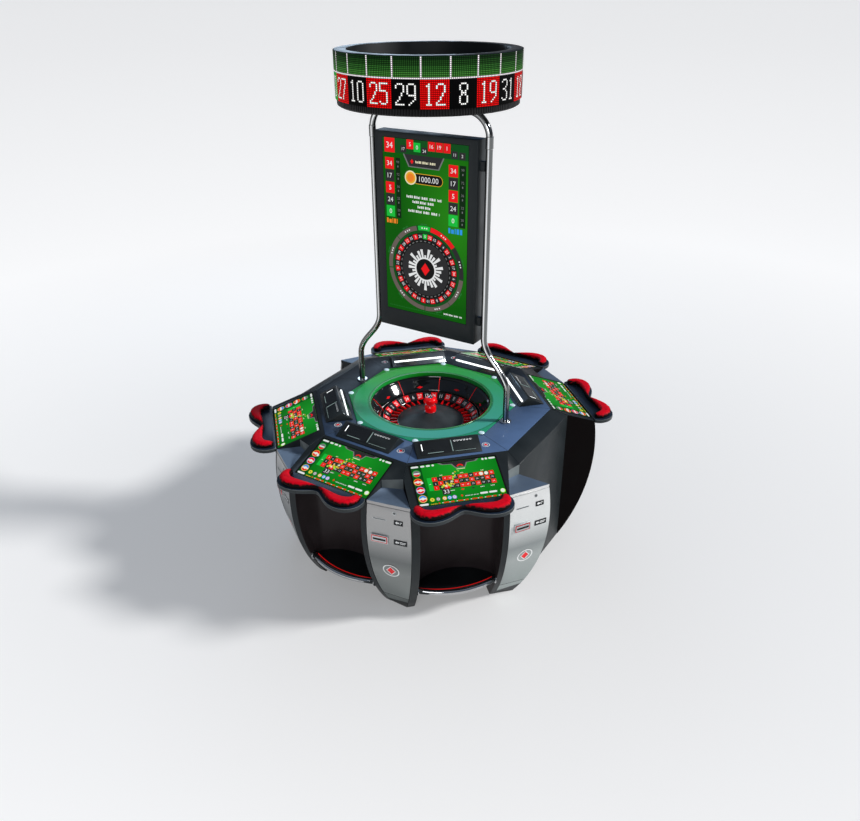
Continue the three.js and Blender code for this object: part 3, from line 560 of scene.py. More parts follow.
# A drawing made of thin closed shapes that lie on a face. Its own axes are u to the right, v up and
# w out of the face, in millimetres; each level stands a little prouder than the one below.
class Drawing:
    def __init__(self, step=0.12, thick=0.1):
        self.step = step
        self.thick = thick
        self.verts = []
        self.faces = []
        self.paints = []
        self.indices = []

    def paint_index(self, paint):
        if paint not in self.paints:
            self.paints.append(paint)
        return self.paints.index(paint)

    def heights(self, level):
        top = self.step * level + self.thick
        return self.step * (level - 1) * 0.5, top

    def outline(self, points, paint, level=1):
        low, high = self.heights(level)
        first = len(self.verts)
        count = len(points)
        self.verts += [(u, v, low) for u, v in points] + [(u, v, high) for u, v in points]
        sides = [(first + i, first + (i + 1) % count, first + count + (i + 1) % count, first + count + i)
                 for i in range(count)]
        foot, top = range(first, first + count), range(first + count, first + 2 * count)
        self.faces += [tuple(reversed(foot)), tuple(top)] + sides
        self.indices += [self.paint_index(paint)] * (count + 2)

    def rect(self, u0, v0, u1, v1, paint, level=1):
        self.outline([(u0, v0), (u1, v0), (u1, v1), (u0, v1)], paint, level)

    def pill(self, u0, v0, u1, v1, paint, level=1, round_by=None):
        radius = min((v1 - v0) / 2, (u1 - u0) / 2) if round_by is None else round_by
        points = []
        for corner, (u, v) in enumerate([(u1 - radius, v1 - radius), (u0 + radius, v1 - radius),
                                         (u0 + radius, v0 + radius), (u1 - radius, v0 + radius)]):
            for step in range(5):
                angle = (corner + step / 4) * math.pi / 2
                points.append((u + radius * math.cos(angle), v + radius * math.sin(angle)))
        self.outline(points, paint, level)

    def disc(self, u, v, radius, paint, level=1, sides=28):
        points = [(u + radius * math.cos(a), v + radius * math.sin(a)) for a in round_turns(sides)]
        self.outline(points, paint, level)

    # Part of a ring, from one clock angle to another: degrees, clockwise from the top.
    def arc(self, u, v, inner, outer, start, end, paint, level=1):
        steps = max(2, int(abs(end - start) / 6) + 1)
        turns = [(start + (end - start) * i / steps) * DEG for i in range(steps + 1)]
        far = [(u + outer * math.sin(a), v + outer * math.cos(a)) for a in turns]
        near = [(u + inner * math.sin(a), v + inner * math.cos(a)) for a in reversed(turns)]
        for i in range(steps):
            ring_piece = [far[i], far[i + 1], near[steps - i - 1], near[steps - i]]
            self.outline(ring_piece, paint, level)

    def word(self, text, u, v, tall, paint, level=2, turn=0.0, squeeze=1.0):
        low, high = self.heights(level)
        flat, faces = word_shape(text)
        first = len(self.verts)
        cos, sin = math.cos(turn * DEG), math.sin(turn * DEG)
        for x, y, upper in flat:
            a, b = x * tall * squeeze, y * tall
            self.verts.append((u + a * cos + b * sin, v - a * sin + b * cos, high if upper else low))
        self.faces += [tuple(first + i for i in face) for face in faces]
        self.indices += [self.paint_index(paint)] * len(faces)

    # place carries (u, v, w), in metres, to the table's frame.
    def build(self, name, place, body, turn=0, own_frame=False):
        verts = [place @ Vector((u * MM, v * MM, w * MM)) for u, v, w in self.verts]
        return make_piece(name, verts, self.faces, self.paints, body, self.indices, turn,
                          own_frame=own_frame)


# The frame with its origin at a point, its u along the given line and its w out of the face.
def basis(origin, u, w):
    u, w = Vector(u).normalized(), Vector(w).normalized()
    v = w.cross(u)
    matrix = Matrix((u, v, w)).transposed().to_4x4()
    matrix.translation = Vector(origin)
    return matrix


# Station frame and places --------------------------------------------------------------------

DECK_EDGE = HIGH["deck_plate"].x
KNEE_LEFT = -0.2731
KNEE_RIGHT = 0.177
KNEE_X = (KNEE_LEFT + KNEE_RIGHT) / 2
FIN_ARC = 1.082
FIN_ARC_N = -0.115
FIN_ARC_Z = 0.622
RIGHT_CHEEK = 0.21
MODULE_TOP = 0.822
DOOR_LEFT = 0.213
DOOR_RIGHT = -0.3215
DOOR_LOW = LOW["station_b_door"].z
DOOR_HIGH = HIGH["station_b_door"].z
SCREEN_MIDDLE = (LOW["station_b_screen"] + HIGH["station_b_screen"]) / 2
SCREEN_THICK = 0.0046 - 0.0004


# How far out the arc of the fins and doors stands at a height.
def fin_front(z):
    return FIN_ARC_N + math.sqrt(FIN_ARC ** 2 - (z - FIN_ARC_Z) ** 2)


# The x and y of a point of a station's own frame, turned to a neighbour's by angle.
def in_frame(along, n, angle=0.0):
    x = along * math.cos(angle) + n * math.sin(angle)
    y = along * math.sin(angle) - n * math.cos(angle)
    return x, y


def turned_back(point, turn):
    return Matrix.Rotation(-turn * DEG, 4, "Z") @ point


# The faces of a station frame, each kind with its paint.
FINS, TOP, LEG_PANEL, BAY_TOP, BAY_BACK, SHELF, FRONT_EDGE, CHEEK = range(8)
STATION_PAINTS = ["charcoal", "charcoal", "leg_panel", "bay_top", "bay_back", "shelf", "silver", "cheek"]


def station_face(turn):
    slack = 0.002
    bay_top_edge, bay_front = MODULE_TOP - 0.02, 0.85
    toe_front, bay_back_n = 0.8, DECK_EDGE + 0.03
    left_cheek = -0.31
    shelf_low, shelf_high = 0.16, 0.19
    panel_top, top_edge = 0.8, 0.77

    def pick(centre, normal):
        at = turned_back(centre, turn)
        facing = turned_back(normal, turn)
        n = -at.y
        upward, upright = facing.z > 0.8, abs(facing.z) < 0.3
        in_bay = at.x > RIGHT_CHEEK + slack / 2
        in_knee = KNEE_LEFT - slack < at.x < KNEE_RIGHT + slack
        if in_bay and upward and abs(at.z - MODULE_TOP) < 1.5 * slack:
            return BAY_TOP
        if in_bay and bay_top_edge < at.z < MODULE_TOP and facing.y < -0.5 and n > bay_front:
            return FRONT_EDGE
        if in_bay and at.z < DOOR_LOW and n > toe_front and abs(facing.z) < 0.9:
            return FRONT_EDGE
        # Painted shade: the left cheek, seen in shadow, takes a near-black paint.
        if facing.x < -0.9 and at.x < left_cheek:
            return CHEEK
        if in_bay and at.z > MODULE_TOP - slack / 2 and upright and n > bay_back_n:
            return BAY_BACK
        if upward and at.z > panel_top:
            return TOP
        if in_knee and shelf_low < at.z < shelf_high:
            return SHELF
        if in_knee and at.z < panel_top and n < fin_front(at.z) - 0.02:
            return LEG_PANEL
        if in_knee and at.z > top_edge:
            return TOP
        return FINS
    return pick


# Camera, light and floor ---------------------------------------------------------------------

def make_camera():
    data = bpy.data.cameras.new("camera")
    data.lens = 32.83
    data.sensor_width = 36
    data.clip_end = 900
    camera = add_object("camera", data)
    heading, down, roll = 0.5677, 0.5055, -0.0067
    level_share = math.cos(down)
    look = Vector((-math.sin(heading) * level_share, math.cos(heading) * level_share, -math.sin(down)))
    level = Vector((math.cos(heading), math.sin(heading), 0))
    up = level.cross(look)
    right = level * math.cos(roll) + up * math.sin(roll)
    up = right.cross(look)
    camera.matrix_world = Matrix((right, up, -look)).transposed().to_4x4()
    camera.location = (2.2711, -3.5669, 3.1823)
    bpy.context.scene.camera = camera


def area_light(name, place, target, wide, tall, power, colour=(1, 1, 1)):
    data = bpy.data.lights.new(name, "AREA")
    data.shape = "RECTANGLE"
    data.size = wide
    data.size_y = tall
    data.energy = power
    data.color = colour
    light = add_object(name, data)
    light.location = place
    light.rotation_euler = (Vector(target) - Vector(place)).to_track_quat("-Z", "Y").to_euler()


def make_studio():
    sun = bpy.data.lights.new("key", "SUN")
    sun.energy = 3.7
    sun.angle = 9 * DEG
    key = add_object("key", sun)
    key.rotation_euler = Vector((-2.9, -1.6, -2.2)).to_track_quat("-Z", "Y").to_euler()
    area_light("fill", (2.4, -5.6, 3.4), (0, 0, 0.8), 2.6, 1.4, 85)
    area_light("rim", (-3.4, 3.6, 3.4), (0, 0, 1.0), 2.6, 1.2, 36, (0.62, 0.8, 1))
    world = bpy.data.worlds.new("studio")
    bpy.context.scene.world = world
    world.use_nodes = True
    tree = world.node_tree
    above = add_node(tree, "TexCoord").outputs["Generated"]
    height = add_node(tree, "SeparateXYZ", {"Vector": above}).outputs["Z"]
    sky = ramp(tree, height, 0.0, 1.0, (0.5, 0.5, 0.51, 1), (0.3, 0.32, 0.36, 1),
               ((0.15, (0.12, 0.13, 0.15, 1)), (0.6, (0.2, 0.26, 0.36, 1))))
    put(tree, tree.nodes["Background"], {"Color": sky, "Strength": 0.7})
    # The camera sees a plain pale backdrop in place of what lights the table.
    backdrop = add_node(tree, "Background", {"Color": (0.86, 0.86, 0.87, 1)})
    seen = add_node(tree, "LightPath").outputs["Is Camera Ray"]
    either = add_node(tree, "MixShader", {"Fac": seen, 1: tree.nodes["Background"].outputs["Background"],
                                          2: backdrop.outputs["Background"]})
    put(tree, tree.nodes["World Output"], {"Surface": either.outputs["Shader"]})
    bpy.context.scene.view_settings.view_transform = "Standard"


def floor_material():
    material, tree, shader = new_material("floor_white_painted_shade")
    # Painted shade: the floor is darker near the table and pale further out.
    away = add_node(tree, "VectorMath", {0: object_place(tree)}, operation="LENGTH").outputs["Value"]
    share = map_range(tree, away, 0.5, 7.0)
    put(tree, shader, {
        "Base Color": ramp(tree, share, 0.0, 1.0, (0.53, 0.525, 0.52, 1), (0.94, 0.92, 0.89, 1)),
        "Roughness": 0.3, "Specular IOR Level": 0.12, "Emission Color": WHITE, "Emission Strength": 0.24})
    return material


def make_floor():
    mesh = bpy.data.meshes.new("studio_floor")
    reach = 300
    mesh.from_pydata([(-reach, -reach, 0), (reach, -reach, 0), (reach, reach, 0), (-reach, reach, 0)], [],
                     [(0, 1, 2, 3)])
    mesh.materials.append(floor_material())
    add_object("studio_floor", mesh)


# Table body ----------------------------------------------------------------------------------

def make_body():
    refined("base_carcass", ["charcoal"])
    refined("deck_plate", ["deck"], round_edge=0.0015)
    refined("side_panel_east", ["charcoal"], round_edge=0.003)
    refined("side_panel_west", ["charcoal"], round_edge=0.003)
    refined("wheel_surround", ["green"], round_edge=0.0012)
    refined("bearing_housing", ["steel"])
    refined("drive_motor", ["motor"])
    refined("drive_belt", ["rubber"], round_edge=0.0006)
    for node, body in (("motor_pulley", "motor_shaft"), ("driven_pulley", "rotor"),
                       ("rotor_spindle", "rotor")):
        refined(node, ["steel"], body, 0.001)


def make_deck_details():
    surround_corner = 0.515
    stud_circle, stud_radius, stud_height = 0.5, 0.018, 0.007
    deck_corner = HIGH["deck_plate"].x / math.cos(HALF_SIDE_ANGLE)
    for k in range(8):
        angle = HALF_SIDE_ANGLE + k * SIDE_ANGLE
        x, y = math.cos(angle), math.sin(angle)
        dome(f"surround_stud_{k + 1}", stud_circle * x, stud_circle * y, SURROUND_TOP - 0.0005,
             stud_radius, stud_height, "stud", TABLE)
        seam = Drawing(0.2, 0.15)
        seam.rect(surround_corner / MM + 4, -0.9, deck_corner / MM - 1, 0.9, "slot_black")
        place = basis((0, 0, DECK_TOP), (x, y, 0), (0, 0, 1))
        seam.build(f"deck_seam_{k + 1}", place, TABLE)
    rings = Drawing(0.2, 0.15)
    # The wide band between the lines carries a painted sheen, lighter and more teal than the surround.
    for inner, outer, paint in ((375, 377, "green_dark"), (382, 383.5, "green_dark"),
                                (383.5, 466, "green_sheen_band"), (466, 468.5, "green_dark")):
        rings.arc(0, 0, inner, outer, 0, 360, paint)
    rings.build("surround_lines", basis((0, 0, SURROUND_TOP), (1, 0, 0), (0, 0, 1)), TABLE)
    lip = [(radius, SURROUND_TOP + rise) for radius, rise in (
        (0.3652, -0.0235), (0.3652, -0.001), (0.3662, 0.0012), (0.3725, 0.0012), (0.3735, 0.0001),
        (0.3735, -0.0235))]
    lathe("wheel_opening_lip", lip, ["green_light"], TABLE)


# Wheel ---------------------------------------------------------------------------------------

# Rounds the inner corners of an open profile with a short arc of straight pieces.
def smooth_profile(points, parts=4, pull=0.28):
    rounded_points = [points[0]]
    for before, here, after in zip(points, points[1:], points[2:]):
        a = [h + (b - h) * pull for h, b in zip(here, before)]
        c = [h + (b - h) * pull for h, b in zip(here, after)]
        for t in [(i + 0.5) / parts for i in range(parts)]:
            rounded_points.append(tuple((1 - t) ** 2 * p + 2 * t * (1 - t) * q + t * t * r
                                        for p, q, r in zip(a, here, c)))
    rounded_points.append(points[-1])
    return rounded_points


def make_bowl():
    wall = [(0.3645, 0.8986), (0.362, 0.8905), (0.3505, 0.8845), (0.3385, 0.8685), (0.2995, 0.8225)]
    outside = [(0.024, 0.758), (0.024, 0.747), (0.309, 0.747), (0.309, 0.814), (0.352, 0.864),
               (0.372, 0.8845), (0.44, 0.8845), (0.44, 0.8986)]
    bowl = lathe("wheel_bowl_turned", smooth_profile(wall + [(0.2992, 0.758)]) + outside, ["bowl"], TABLE)
    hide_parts("wheel_bowl")
    # Eight red diamond deflectors, with eight red inlay lines that run down the bowl between them.
    slope_out, slope_in = [Vector((radius, 0, z)) for radius, z in wall[-2:]]
    along = (slope_out - slope_in).normalized()
    facing = Vector((-along.z, 0, along.x))
    middle = slope_in.lerp(slope_out, 0.45)
    length, side = along * 0.0085, Vector((0, 1, 0)) * 0.022
    verts = [middle + length, middle + side, middle - length, middle - side,
             middle + facing * 0.0045, middle - facing * 0.001]
    faces = [(0, 1, 4), (1, 2, 4), (2, 3, 4), (3, 0, 4), (1, 0, 5), (2, 1, 5), (3, 2, 5), (0, 3, 5)]
    inlay = [(radius - 0.0002, 0, z) for radius, z in smooth_profile(wall + [(0.2992, 0.8)])[1:]]
    for k in range(8):
        make_piece(f"bowl_diamond_{k + 1}", verts, faces, ["red"], TABLE, turn=45 * k, smooth=5)
        tube(f"bowl_inlay_{k + 1}", inlay, 0.0021, "red", TABLE, turn=45 * k + 22.5, sides=10)


def number_paint(number, green, red, black):
    if number in ("0", "00"):
        return green
    return red if int(number) in RED_NUMBERS else black


def make_rotor():
    profile = [(0.0124, 0.763), (0.25, 0.763), (0.293, 0.792), (0.293, 0.8125), (0.2915, 0.8165),
               (0.2895, 0.8165), (0.252, 0.7895), (0.25, 0.787), (0.25, 0.7712), (0.205, 0.7712),
               (0.205, 0.776), (0.2, 0.7785), (0.16, 0.7895), (0.1, 0.8085), (0.06, 0.8235), (0.04, 0.8355),
               (0.03, 0.838), (0.0124, 0.838)]
    # The sides from the ball pockets' inner edge to the turret's foot are the grey cone.
    rotor = lathe("wheel_rotor_turned", profile, ["bowl", "cone"], "rotor", 111,
                  lambda i: 1 if 9 <= i <= 16 else 0)
    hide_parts("wheel_rotor")
    count = len(SINGLE_ZERO_ORDER)
    pocket = 360 / count
    first = 244.1
    # Each pocket has a sloping panel with its number, a floor and a fret beside it.
    slope_low, slope_high = Vector((0.2525, 0, 0.7898)), Vector((0.2893, 0, 0.8163))
    along = (slope_high - slope_low).normalized()
    length = (slope_high - slope_low).length / MM
    out = Vector((-along.z, 0, along.x))
    panel_place = basis(slope_low + out * 0.0002, (0, -1, 0), tuple(out))
    pocket_in, pocket_out, pocket_floor = 0.206, 0.2492, 0.7712
    floor_place = basis((pocket_in, 0, pocket_floor), (0, -1, 0), (0, 0, 1))
    fret = [(pocket_in, 0.7716), (0.2495, 0.7716), (0.2495, 0.7845), (pocket_in, 0.7845)]
    fret_half = 0.0034
    fret_verts = [(r, s * fret_half, z) for s in (-1, 1) for r, z in fret]
    fret_faces = [(0, 1, 2, 3), (7, 6, 5, 4), (0, 4, 5, 1), (1, 5, 6, 2), (2, 6, 7, 3), (3, 7, 4, 0)]

    def half_width(radius, gap):
        return radius * math.pi / count / MM - gap

    for k, number in enumerate(SINGLE_ZERO_ORDER):
        turn = first - k * pocket
        low, high = half_width(slope_low.x, 0.6), half_width(slope_high.x, 0.6)
        panel = Drawing(0.15, 0.12)
        panel.outline([(-low, 0), (low, 0), (high, length), (-high, length)],
                      number_paint(number, "green", "red", "pocket_black"))
        panel.word(number, 0, length * 0.5, 25, "print_white", 2, squeeze=0.72)
        panel.build(f"rotor_number_{number}", panel_place, "rotor", turn=turn)
        make_piece(f"rotor_fret_{k + 1}", fret_verts, fret_faces, ["red"], "rotor",
                   turn=turn + pocket / 2)
        low, high = half_width(pocket_in, 0.9), half_width(pocket_out, 0.9)
        floor = Drawing(0.3, 0.25)
        floor.outline([(-low, 0), (low, 0), (high, 43.2), (-high, 43.2)], "pocket_black")
        floor.build(f"rotor_pocket_{number}", floor_place, "rotor", turn=turn)
    band = [(0.2898, 0.8166), (0.2898, 0.8176), (0.2925, 0.8176), (0.2925, 0.8136)]
    lathe("rotor_rim_ring", band, ["rim_dark"], "rotor")
    inner_band = [(0.1995, 0.7788), (0.1995, 0.7822), (0.2045, 0.7808), (0.2045, 0.7768)]
    lathe("rotor_cone_ring", inner_band, ["rim_dark"], "rotor")


def make_turret():
    outline = [(0.0, 0.8386), (0.033, 0.8386), (0.0345, 0.842), (0.035, 0.852), (0.035, 0.866),
               (0.0335, 0.874), (0.029, 0.881), (0.0272, 0.887), (0.0285, 0.894), (0.0335, 0.9015),
               (0.0375, 0.909), (0.038, 0.917), (0.0368, 0.9245), (0.032, 0.9305), (0.024, 0.934),
               (0.015, 0.9355), (0.0, 0.9355)]
    turret = revolved("turret_turned", outline, "turret_red", "rotor", 64)
    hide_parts("wheel_turret")
    for name, radius, z, thick in (("foot", 0.0347, 0.8405, 0.0012), ("waist", 0.0275, 0.887, 0.0018)):
        ring_path = [(radius * math.cos(2 * math.pi * i / 48), radius * math.sin(2 * math.pi * i / 48), z)
                     for i in range(49)]
        tube(f"turret_{name}_ring", ring_path, thick, "chrome", "rotor", sides=10)
    dome("turret_finial_seat", 0, 0, 0.9353, 0.0165, 0.005, "chrome", "rotor")
    sphere("turret_finial_ball", (0, 0, 0.9468), 0.0078, 32, 20, "chrome", "rotor")


def make_ball():
    middle = (LOW["roulette_ball"] + HIGH["roulette_ball"]) / 2
    radius = (HIGH["roulette_ball"].z - LOW["roulette_ball"].z) / 2
    piece = sphere("wheel_ball", middle, radius, 40, 24, "ivory", "ball")
    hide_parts("roulette_ball")


# Stations ------------------------------------------------------------------------------------

def arc_points(side_n, middle_n, z, reach=0.0, count=25):
    half = (KNEE_RIGHT - KNEE_LEFT) / 2 + reach
    pull = 2 * middle_n - side_n
    points = []
    for i in range(count):
        t = i / (count - 1)
        n = (1 - t) ** 2 * side_n + 2 * t * (1 - t) * pull + t * t * side_n
        points.append((KNEE_X - half + 2 * half * t, -n, z))
    return points


# A line of plain marks of uneven width, in place of printed words.
def print_line(art, u0, u1, v, tall, paint, level=5):
    u = u0
    mark = 0
    while u < u1:
        wide = tall * (0.42 + 0.22 * math.sin(mark * 2.3))
        if mark % 6 != 5:
            rise = tall / 2 * (0.55 if mark % 4 == 1 else 1)
            art.rect(u, v - tall / 2, min(u + wide, u1 + 1), v + rise, paint, level)
        u += wide + tall * 0.2
        mark += 1


# The place of drawings that lie on a station's sloping screen, at a distance from its middle.
def screen_place(out):
    place = basis(SCREEN_MIDDLE, (1, 0, 0), (0, -math.sin(SLOPE), math.cos(SLOPE)))
    return place @ Matrix.Translation((0, 0, out))


def make_screen_art(letter, turn):
    art = Drawing(0.07, 0.06)
    half_u, half_v = 239, 134.5
    art.rect(-half_u, -half_v, half_u, half_v, "px_black", 1)
    art.rect(-half_u + 6, -half_v + 5, half_u - 6, half_v - 5, "felt", 2)
    art.rect(-233, -129.5, -178, 129.5, "px_deep", 3)
    badges = ((-208, 78, "px_green", "px_grey"), (-211, 24, "px_gold", "px_red"),
              (-208, -30, "px_purple", "px_red"), (-207, -84, "px_gold", "px_blue"))
    for u, v, rim, face in badges:
        art.disc(u, v, 23, rim, 4)
        art.disc(u, v, 20, "px_cream" if face != "px_grey" else "px_grey", 5)
        art.arc(u, v, 9, 20, -80, 80, face, 6)
        art.pill(u - 17, v - 4, u + 17, v + 4, "px_white", 7)
        art.arc(u, v, 9, 19, 110, 250, "px_red", 6)
    art.disc(-192, 16, 7, "px_white", 8)
    for u0, v0, u1, v1 in ((-231, 116, -190, 127), (-180, 115, -157, 126), (-149, 115, -127, 126),
                           (-119, 114, -105, 126), (-231, -127, -184, -115), (95, -101, 137, -90),
                           (143, -101, 187, -90), (196, 116, 232, 127)):
        art.pill(u0, v0, u1, v1, "px_white", 4)
    for u in (163, 182):
        art.disc(u, 121, 6.5, "px_white", 4)
    art.outline([(-86, 129), (-64, 115), (-14, 112), (4, 84), (60, 84), (74, 112), (124, 115), (143, 129)],
                "px_grey", 3)
    art.outline([(-72, 129), (-56, 118), (-9, 115), (9, 88), (55, 88), (69, 115), (116, 118), (129, 129)],
                "px_tile", 4)
    art.arc(32, 88, 12, 20, -70, 70, "px_red", 5)
    art.pill(16, 89, 48, 94, "px_line", 5)
    art.pill(8, 75, 56, 79, "px_cream", 4)
    cell, left, low, tall = 28.1, -136, -42, 27.8
    art.rect(left - 26, low, left - 3, low + 3 * tall, "px_green", 3)
    art.word("0", left - 14, low + 1.5 * tall, 9, "px_white", 4, turn=90)
    for column in range(12):
        for row in range(3):
            number = column * 3 + row + 1
            u, v = left + column * cell, low + row * tall
            paint = "px_red" if number in RED_NUMBERS else "px_tile"
            art.rect(u + 0.7, v + 0.7, u + cell - 0.7, v + tall - 0.7, paint, 3)
            art.word(str(number), u + cell / 2, v + tall / 2, 9.5, "px_white", 4)
    for side in range(3):
        u0 = left + side * 4 * cell
        for v0, v1 in ((low + 3 * tall + 1.5, low + 3 * tall + 15), (low - 22, low - 2)):
            u1 = u0 + 4 * cell
            for bar in ((u0, v0, u1, v0 + 1), (u0, v1, u1, v1 + 1), (u0, v0, u0 + 1, v1)):
                art.rect(*bar, "px_line", 3)
        print_line(art, u0 + 46, u0 + 64, low + 3 * tall + 8, 5, "px_cream", 3)
    for u, paint in ((left + 5.25 * cell, "px_red"), (left + 7.25 * cell, "px_tile")):
        art.outline([(u - 10, low - 14), (u, low - 9), (u + 10, low - 14), (u, low - 19)], paint, 3)
    for u in (left + 3.3 * cell, left + 9 * cell, left + 11 * cell):
        print_line(art, u - 10, u + 10, low - 13, 5, "px_white", 3)
    for u, v in ((left + 9.5 * cell, low + 2.5 * tall), (left + 10.5 * cell, low + 2.5 * tall)):
        art.disc(u, v, 11, "px_cream", 5)
        art.disc(u, v, 8, "px_white", 6)
    spark = ((-92, -27, 9), (-82, -18, 11), (-70, -22, 10), (-62, -8, 11), (-54, -18, 10), (-46, -26, 9),
             (-40, -12, 10), (-34, 2, 10), (-28, -16, 8), (-26, 16, 8), (-20, 30, 10), (-10, 38, 7),
             (-16, 52, 7), (-4, 60, 6), (14, 64, 6))
    for i, (u, v, size) in enumerate(spark):
        paint = ("px_lime", "px_yellow", "px_cream", "px_gold", "px_lime")[i % 5]
        points = []
        for k in range(10):
            reach = size if k % 2 else size * 0.4
            angle = (k + i * 0.37) * math.pi / 5
            points.append((u + reach * math.cos(angle), v + reach * math.sin(angle)))
        art.outline(points, paint, 7)
    art.rect(-98, -77, -55, -39, "px_tile", 8)
    art.word("33", -76, -58, 23, "px_white", 9)
    chips = ((-160, "px_yellow"), (-129, "px_grey"), (-95, "px_gold"), (-68, "px_blue"), (-42, "px_purple"))
    for u, paint in chips:
        art.disc(u, -97, 11.5, paint, 5)
        art.disc(u, -97, 7.5, "px_white" if paint != "px_yellow" else "px_yellow", 6)
        art.disc(u, -97, 4, paint if paint != "px_yellow" else "px_brown", 7)
    card_diamond(art, -2, -94.5, 6, "px_red", 4)
    print_line(art, 14, 78, -91, 7, "px_line")
    print_line(art, 14, 84, -99, 4, "px_white")
    print_line(art, -172, -140, -124, 5, "px_gold")
    for i in range(36):
        u = -132 + i * 9.4
        paint = ("px_red", "px_white", "px_red", "px_red", "px_white", "px_green")[(i * 5 + i // 4) % 6]
        tall_mark = 4 if paint == "px_red" else 2
        art.rect(u, -123 - tall_mark, u + 6.8, -123 + tall_mark, paint, 4)
    art.disc(218, -97, 14, "px_lime", 4)
    art.disc(217, -96, 11, "px_white", 5)
    art.build(f"screen_art_{letter}", screen_place(SCREEN_THICK / 2), TABLE, turn, own_frame=True)


def make_screen_bezel(letter, turn):
    bezel = Drawing(0.5, 0.5)
    for bar in ((-243, 134.2, 243, 138), (-243, -138, 243, -134.2), (-243, -134.2, -239.2, 134.2),
                (239.2, -134.2, 243, 134.2)):
        bezel.rect(*bar, "slot_black")
    bezel.build(f"screen_bezel_{letter}", screen_place(0.0024), TABLE, turn)


def make_console(letter, turn):
    node = f"station_{letter}_console"

    def paint_of(centre, normal):
        facing = turned_back(normal, turn)
        return 1 if facing.y > 0.5 else 0

    refined(node, ["console", "mirror_grey"], round_edge=0.0025, paint_of=paint_of)
    ridge, foot, outer = (0.556, DECK_TOP + 0.0524), DECK_TOP + 0.0044, 0.652
    drop = math.atan2(ridge[1] - foot, outer - ridge[0])
    middle_x = (-0.218 + 0.143) / 2
    place = basis((middle_x, -outer, foot), (1, 0, 0), (0, -math.sin(drop), math.cos(drop)))
    length = math.hypot(outer - ridge[0], ridge[1] - foot) / MM
    top = Drawing(0.3, 0.3)
    top.pill(-158, 16, 12, length - 8, "slot_black", 1, 4)
    top.pill(-155, 18, 9, length - 10, "label_black", 2, 4)
    top.pill(-146, 44, -142, length - 20, "lamp_white", 3, 2)
    top.pill(-118, 24, -30, 26.5, "lamp_dim", 3, 1)
    top.pill(20, 22, 23.5, length - 14, "lamp_dim", 2, 1)
    for i in range(6):
        u = 42 + i * 18
        top.pill(u - 6, length - 28, u + 6, length - 14, "slot_black", 2, 3)
        top.arc(u, length - 21, 3.2, 6.2, 40, 320, "print_white", 3)
    top.pill(34, 20, 150, 21.2, "lamp_dim", 2, 0.5)
    top.build(f"console_top_{letter}", place, TABLE, turn)
    badge = Drawing(0.2, 0.15)
    emblem(badge, 44)
    place = basis((0.181, -0.588, DECK_TOP), (1, 0, 0), (0, 0, 1))
    badge.build(f"deck_emblem_{letter}", place, TABLE, turn)
    inner, lift = 0.494, math.atan2(0.052, 0.056)
    face = basis((middle_x, -inner, DECK_TOP + 0.0004), (-1, 0, 0), (0, math.sin(lift), math.cos(lift)))
    lamp = Drawing(0.5, 0.5)
    lamp.pill(-166, 31, 166, 43, "lamp_white", 1, 6)
    for i in range(23):
        lamp.rect(-160 + i * 14, 32, -158.6 + i * 14, 42, "lamp_dim", 2)
    lamp.build(f"console_lamp_{letter}", face, TABLE, turn)


def make_foot_rail(letter, turn):
    rail_n, rail_z, rail_radius = 0.8605, 0.195, 0.0158
    rail = arc_points(0.858, 0.915, rail_z, 0.002)
    tube(f"foot_rail_{letter}", rail, rail_radius, "chrome", TABLE, turn, 28)
    lamp = arc_points(0.838, 0.882, 0.1915, -0.012)
    tube(f"foot_lamp_{letter}", lamp, 0.0022, "lamp_red", TABLE, turn, 12)
    steps = 32
    for name, x in (("left", KNEE_LEFT), ("right", KNEE_RIGHT)):
        inwards = 1 if name == "left" else -1
        profile = [(0.0163, 0), (0.027, 0), (0.027, 0.004), (0.024, 0.006), (0.0163, 0.006)]
        verts = [(x + inwards * (out + 0.0004), -rail_n + radius * math.cos(angle),
                  rail_z + radius * math.sin(angle))
                 for angle in round_turns(steps) for radius, out in profile]
        faces = ring_faces(len(profile), steps)
        make_piece(f"foot_rail_flange_{name}_{letter}", verts, faces, ["chrome"], TABLE,
                   turn=turn)


# A point on the cash module's face: across and down go from 0 to 1, out is its distance in front.
def door_point(across, down, out=0.0):
    z = DOOR_HIGH - (DOOR_HIGH - DOOR_LOW) * down
    n = fin_front(z)
    left = Vector((*in_frame(DOOR_LEFT, n), z))
    right = Vector((*in_frame(DOOR_RIGHT, n, SIDE_ANGLE), z))
    point = left.lerp(right, across)
    return point + door_normal(down) * out


def door_normal(down):
    z = DOOR_HIGH - (DOOR_HIGH - DOOR_LOW) * down
    left = Vector((*in_frame(DOOR_LEFT, fin_front(z)), z))
    right = Vector((*in_frame(DOOR_RIGHT, fin_front(z), SIDE_ANGLE), z))
    above = Vector((*in_frame(DOOR_LEFT, fin_front(z + 0.002)), z + 0.002))
    return (right - left).cross(above - left).normalized()


def make_door(letter, turn):
    steps, across_steps, thick = 48, 6, 0.0148
    verts, faces = [], []
    rim = 0.0025
    width = across_steps + 1
    for step in range(steps + 1):
        down = step / steps
        for i in range(width):
            across = i / across_steps
            edge = i in (0, across_steps) or step in (0, steps)
            verts.append(door_point(across, down, -rim if edge else 0.0))
    front_count = len(verts)
    for step in range(steps + 1):
        for across in (0.0, 1.0):
            verts.append(door_point(across, step / steps, -thick))
    for step in range(steps):
        for i in range(across_steps):
            a = step * width + i
            faces.append((a, a + width, a + width + 1, a + 1))
        left, right = step * width, step * width + across_steps
        back = front_count + step * 2
        faces.append((left, back, back + 2, left + width))
        faces.append((right, right + width, back + 3, back + 1))
        faces.append((back, back + 1, back + 3, back + 2))
    faces.append((*range(width), front_count + 1, front_count))
    last = steps * width
    back = front_count + steps * 2
    faces.append((*reversed(range(last, last + width)), back, back + 1))
    body = f"door_{letter}"
    door = make_piece(f"module_door_{letter}", verts, faces, ["silver"], body, turn=turn,
                      smooth=40)
    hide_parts(f"station_{letter}_door")
    make_door_fittings(letter, turn, body)


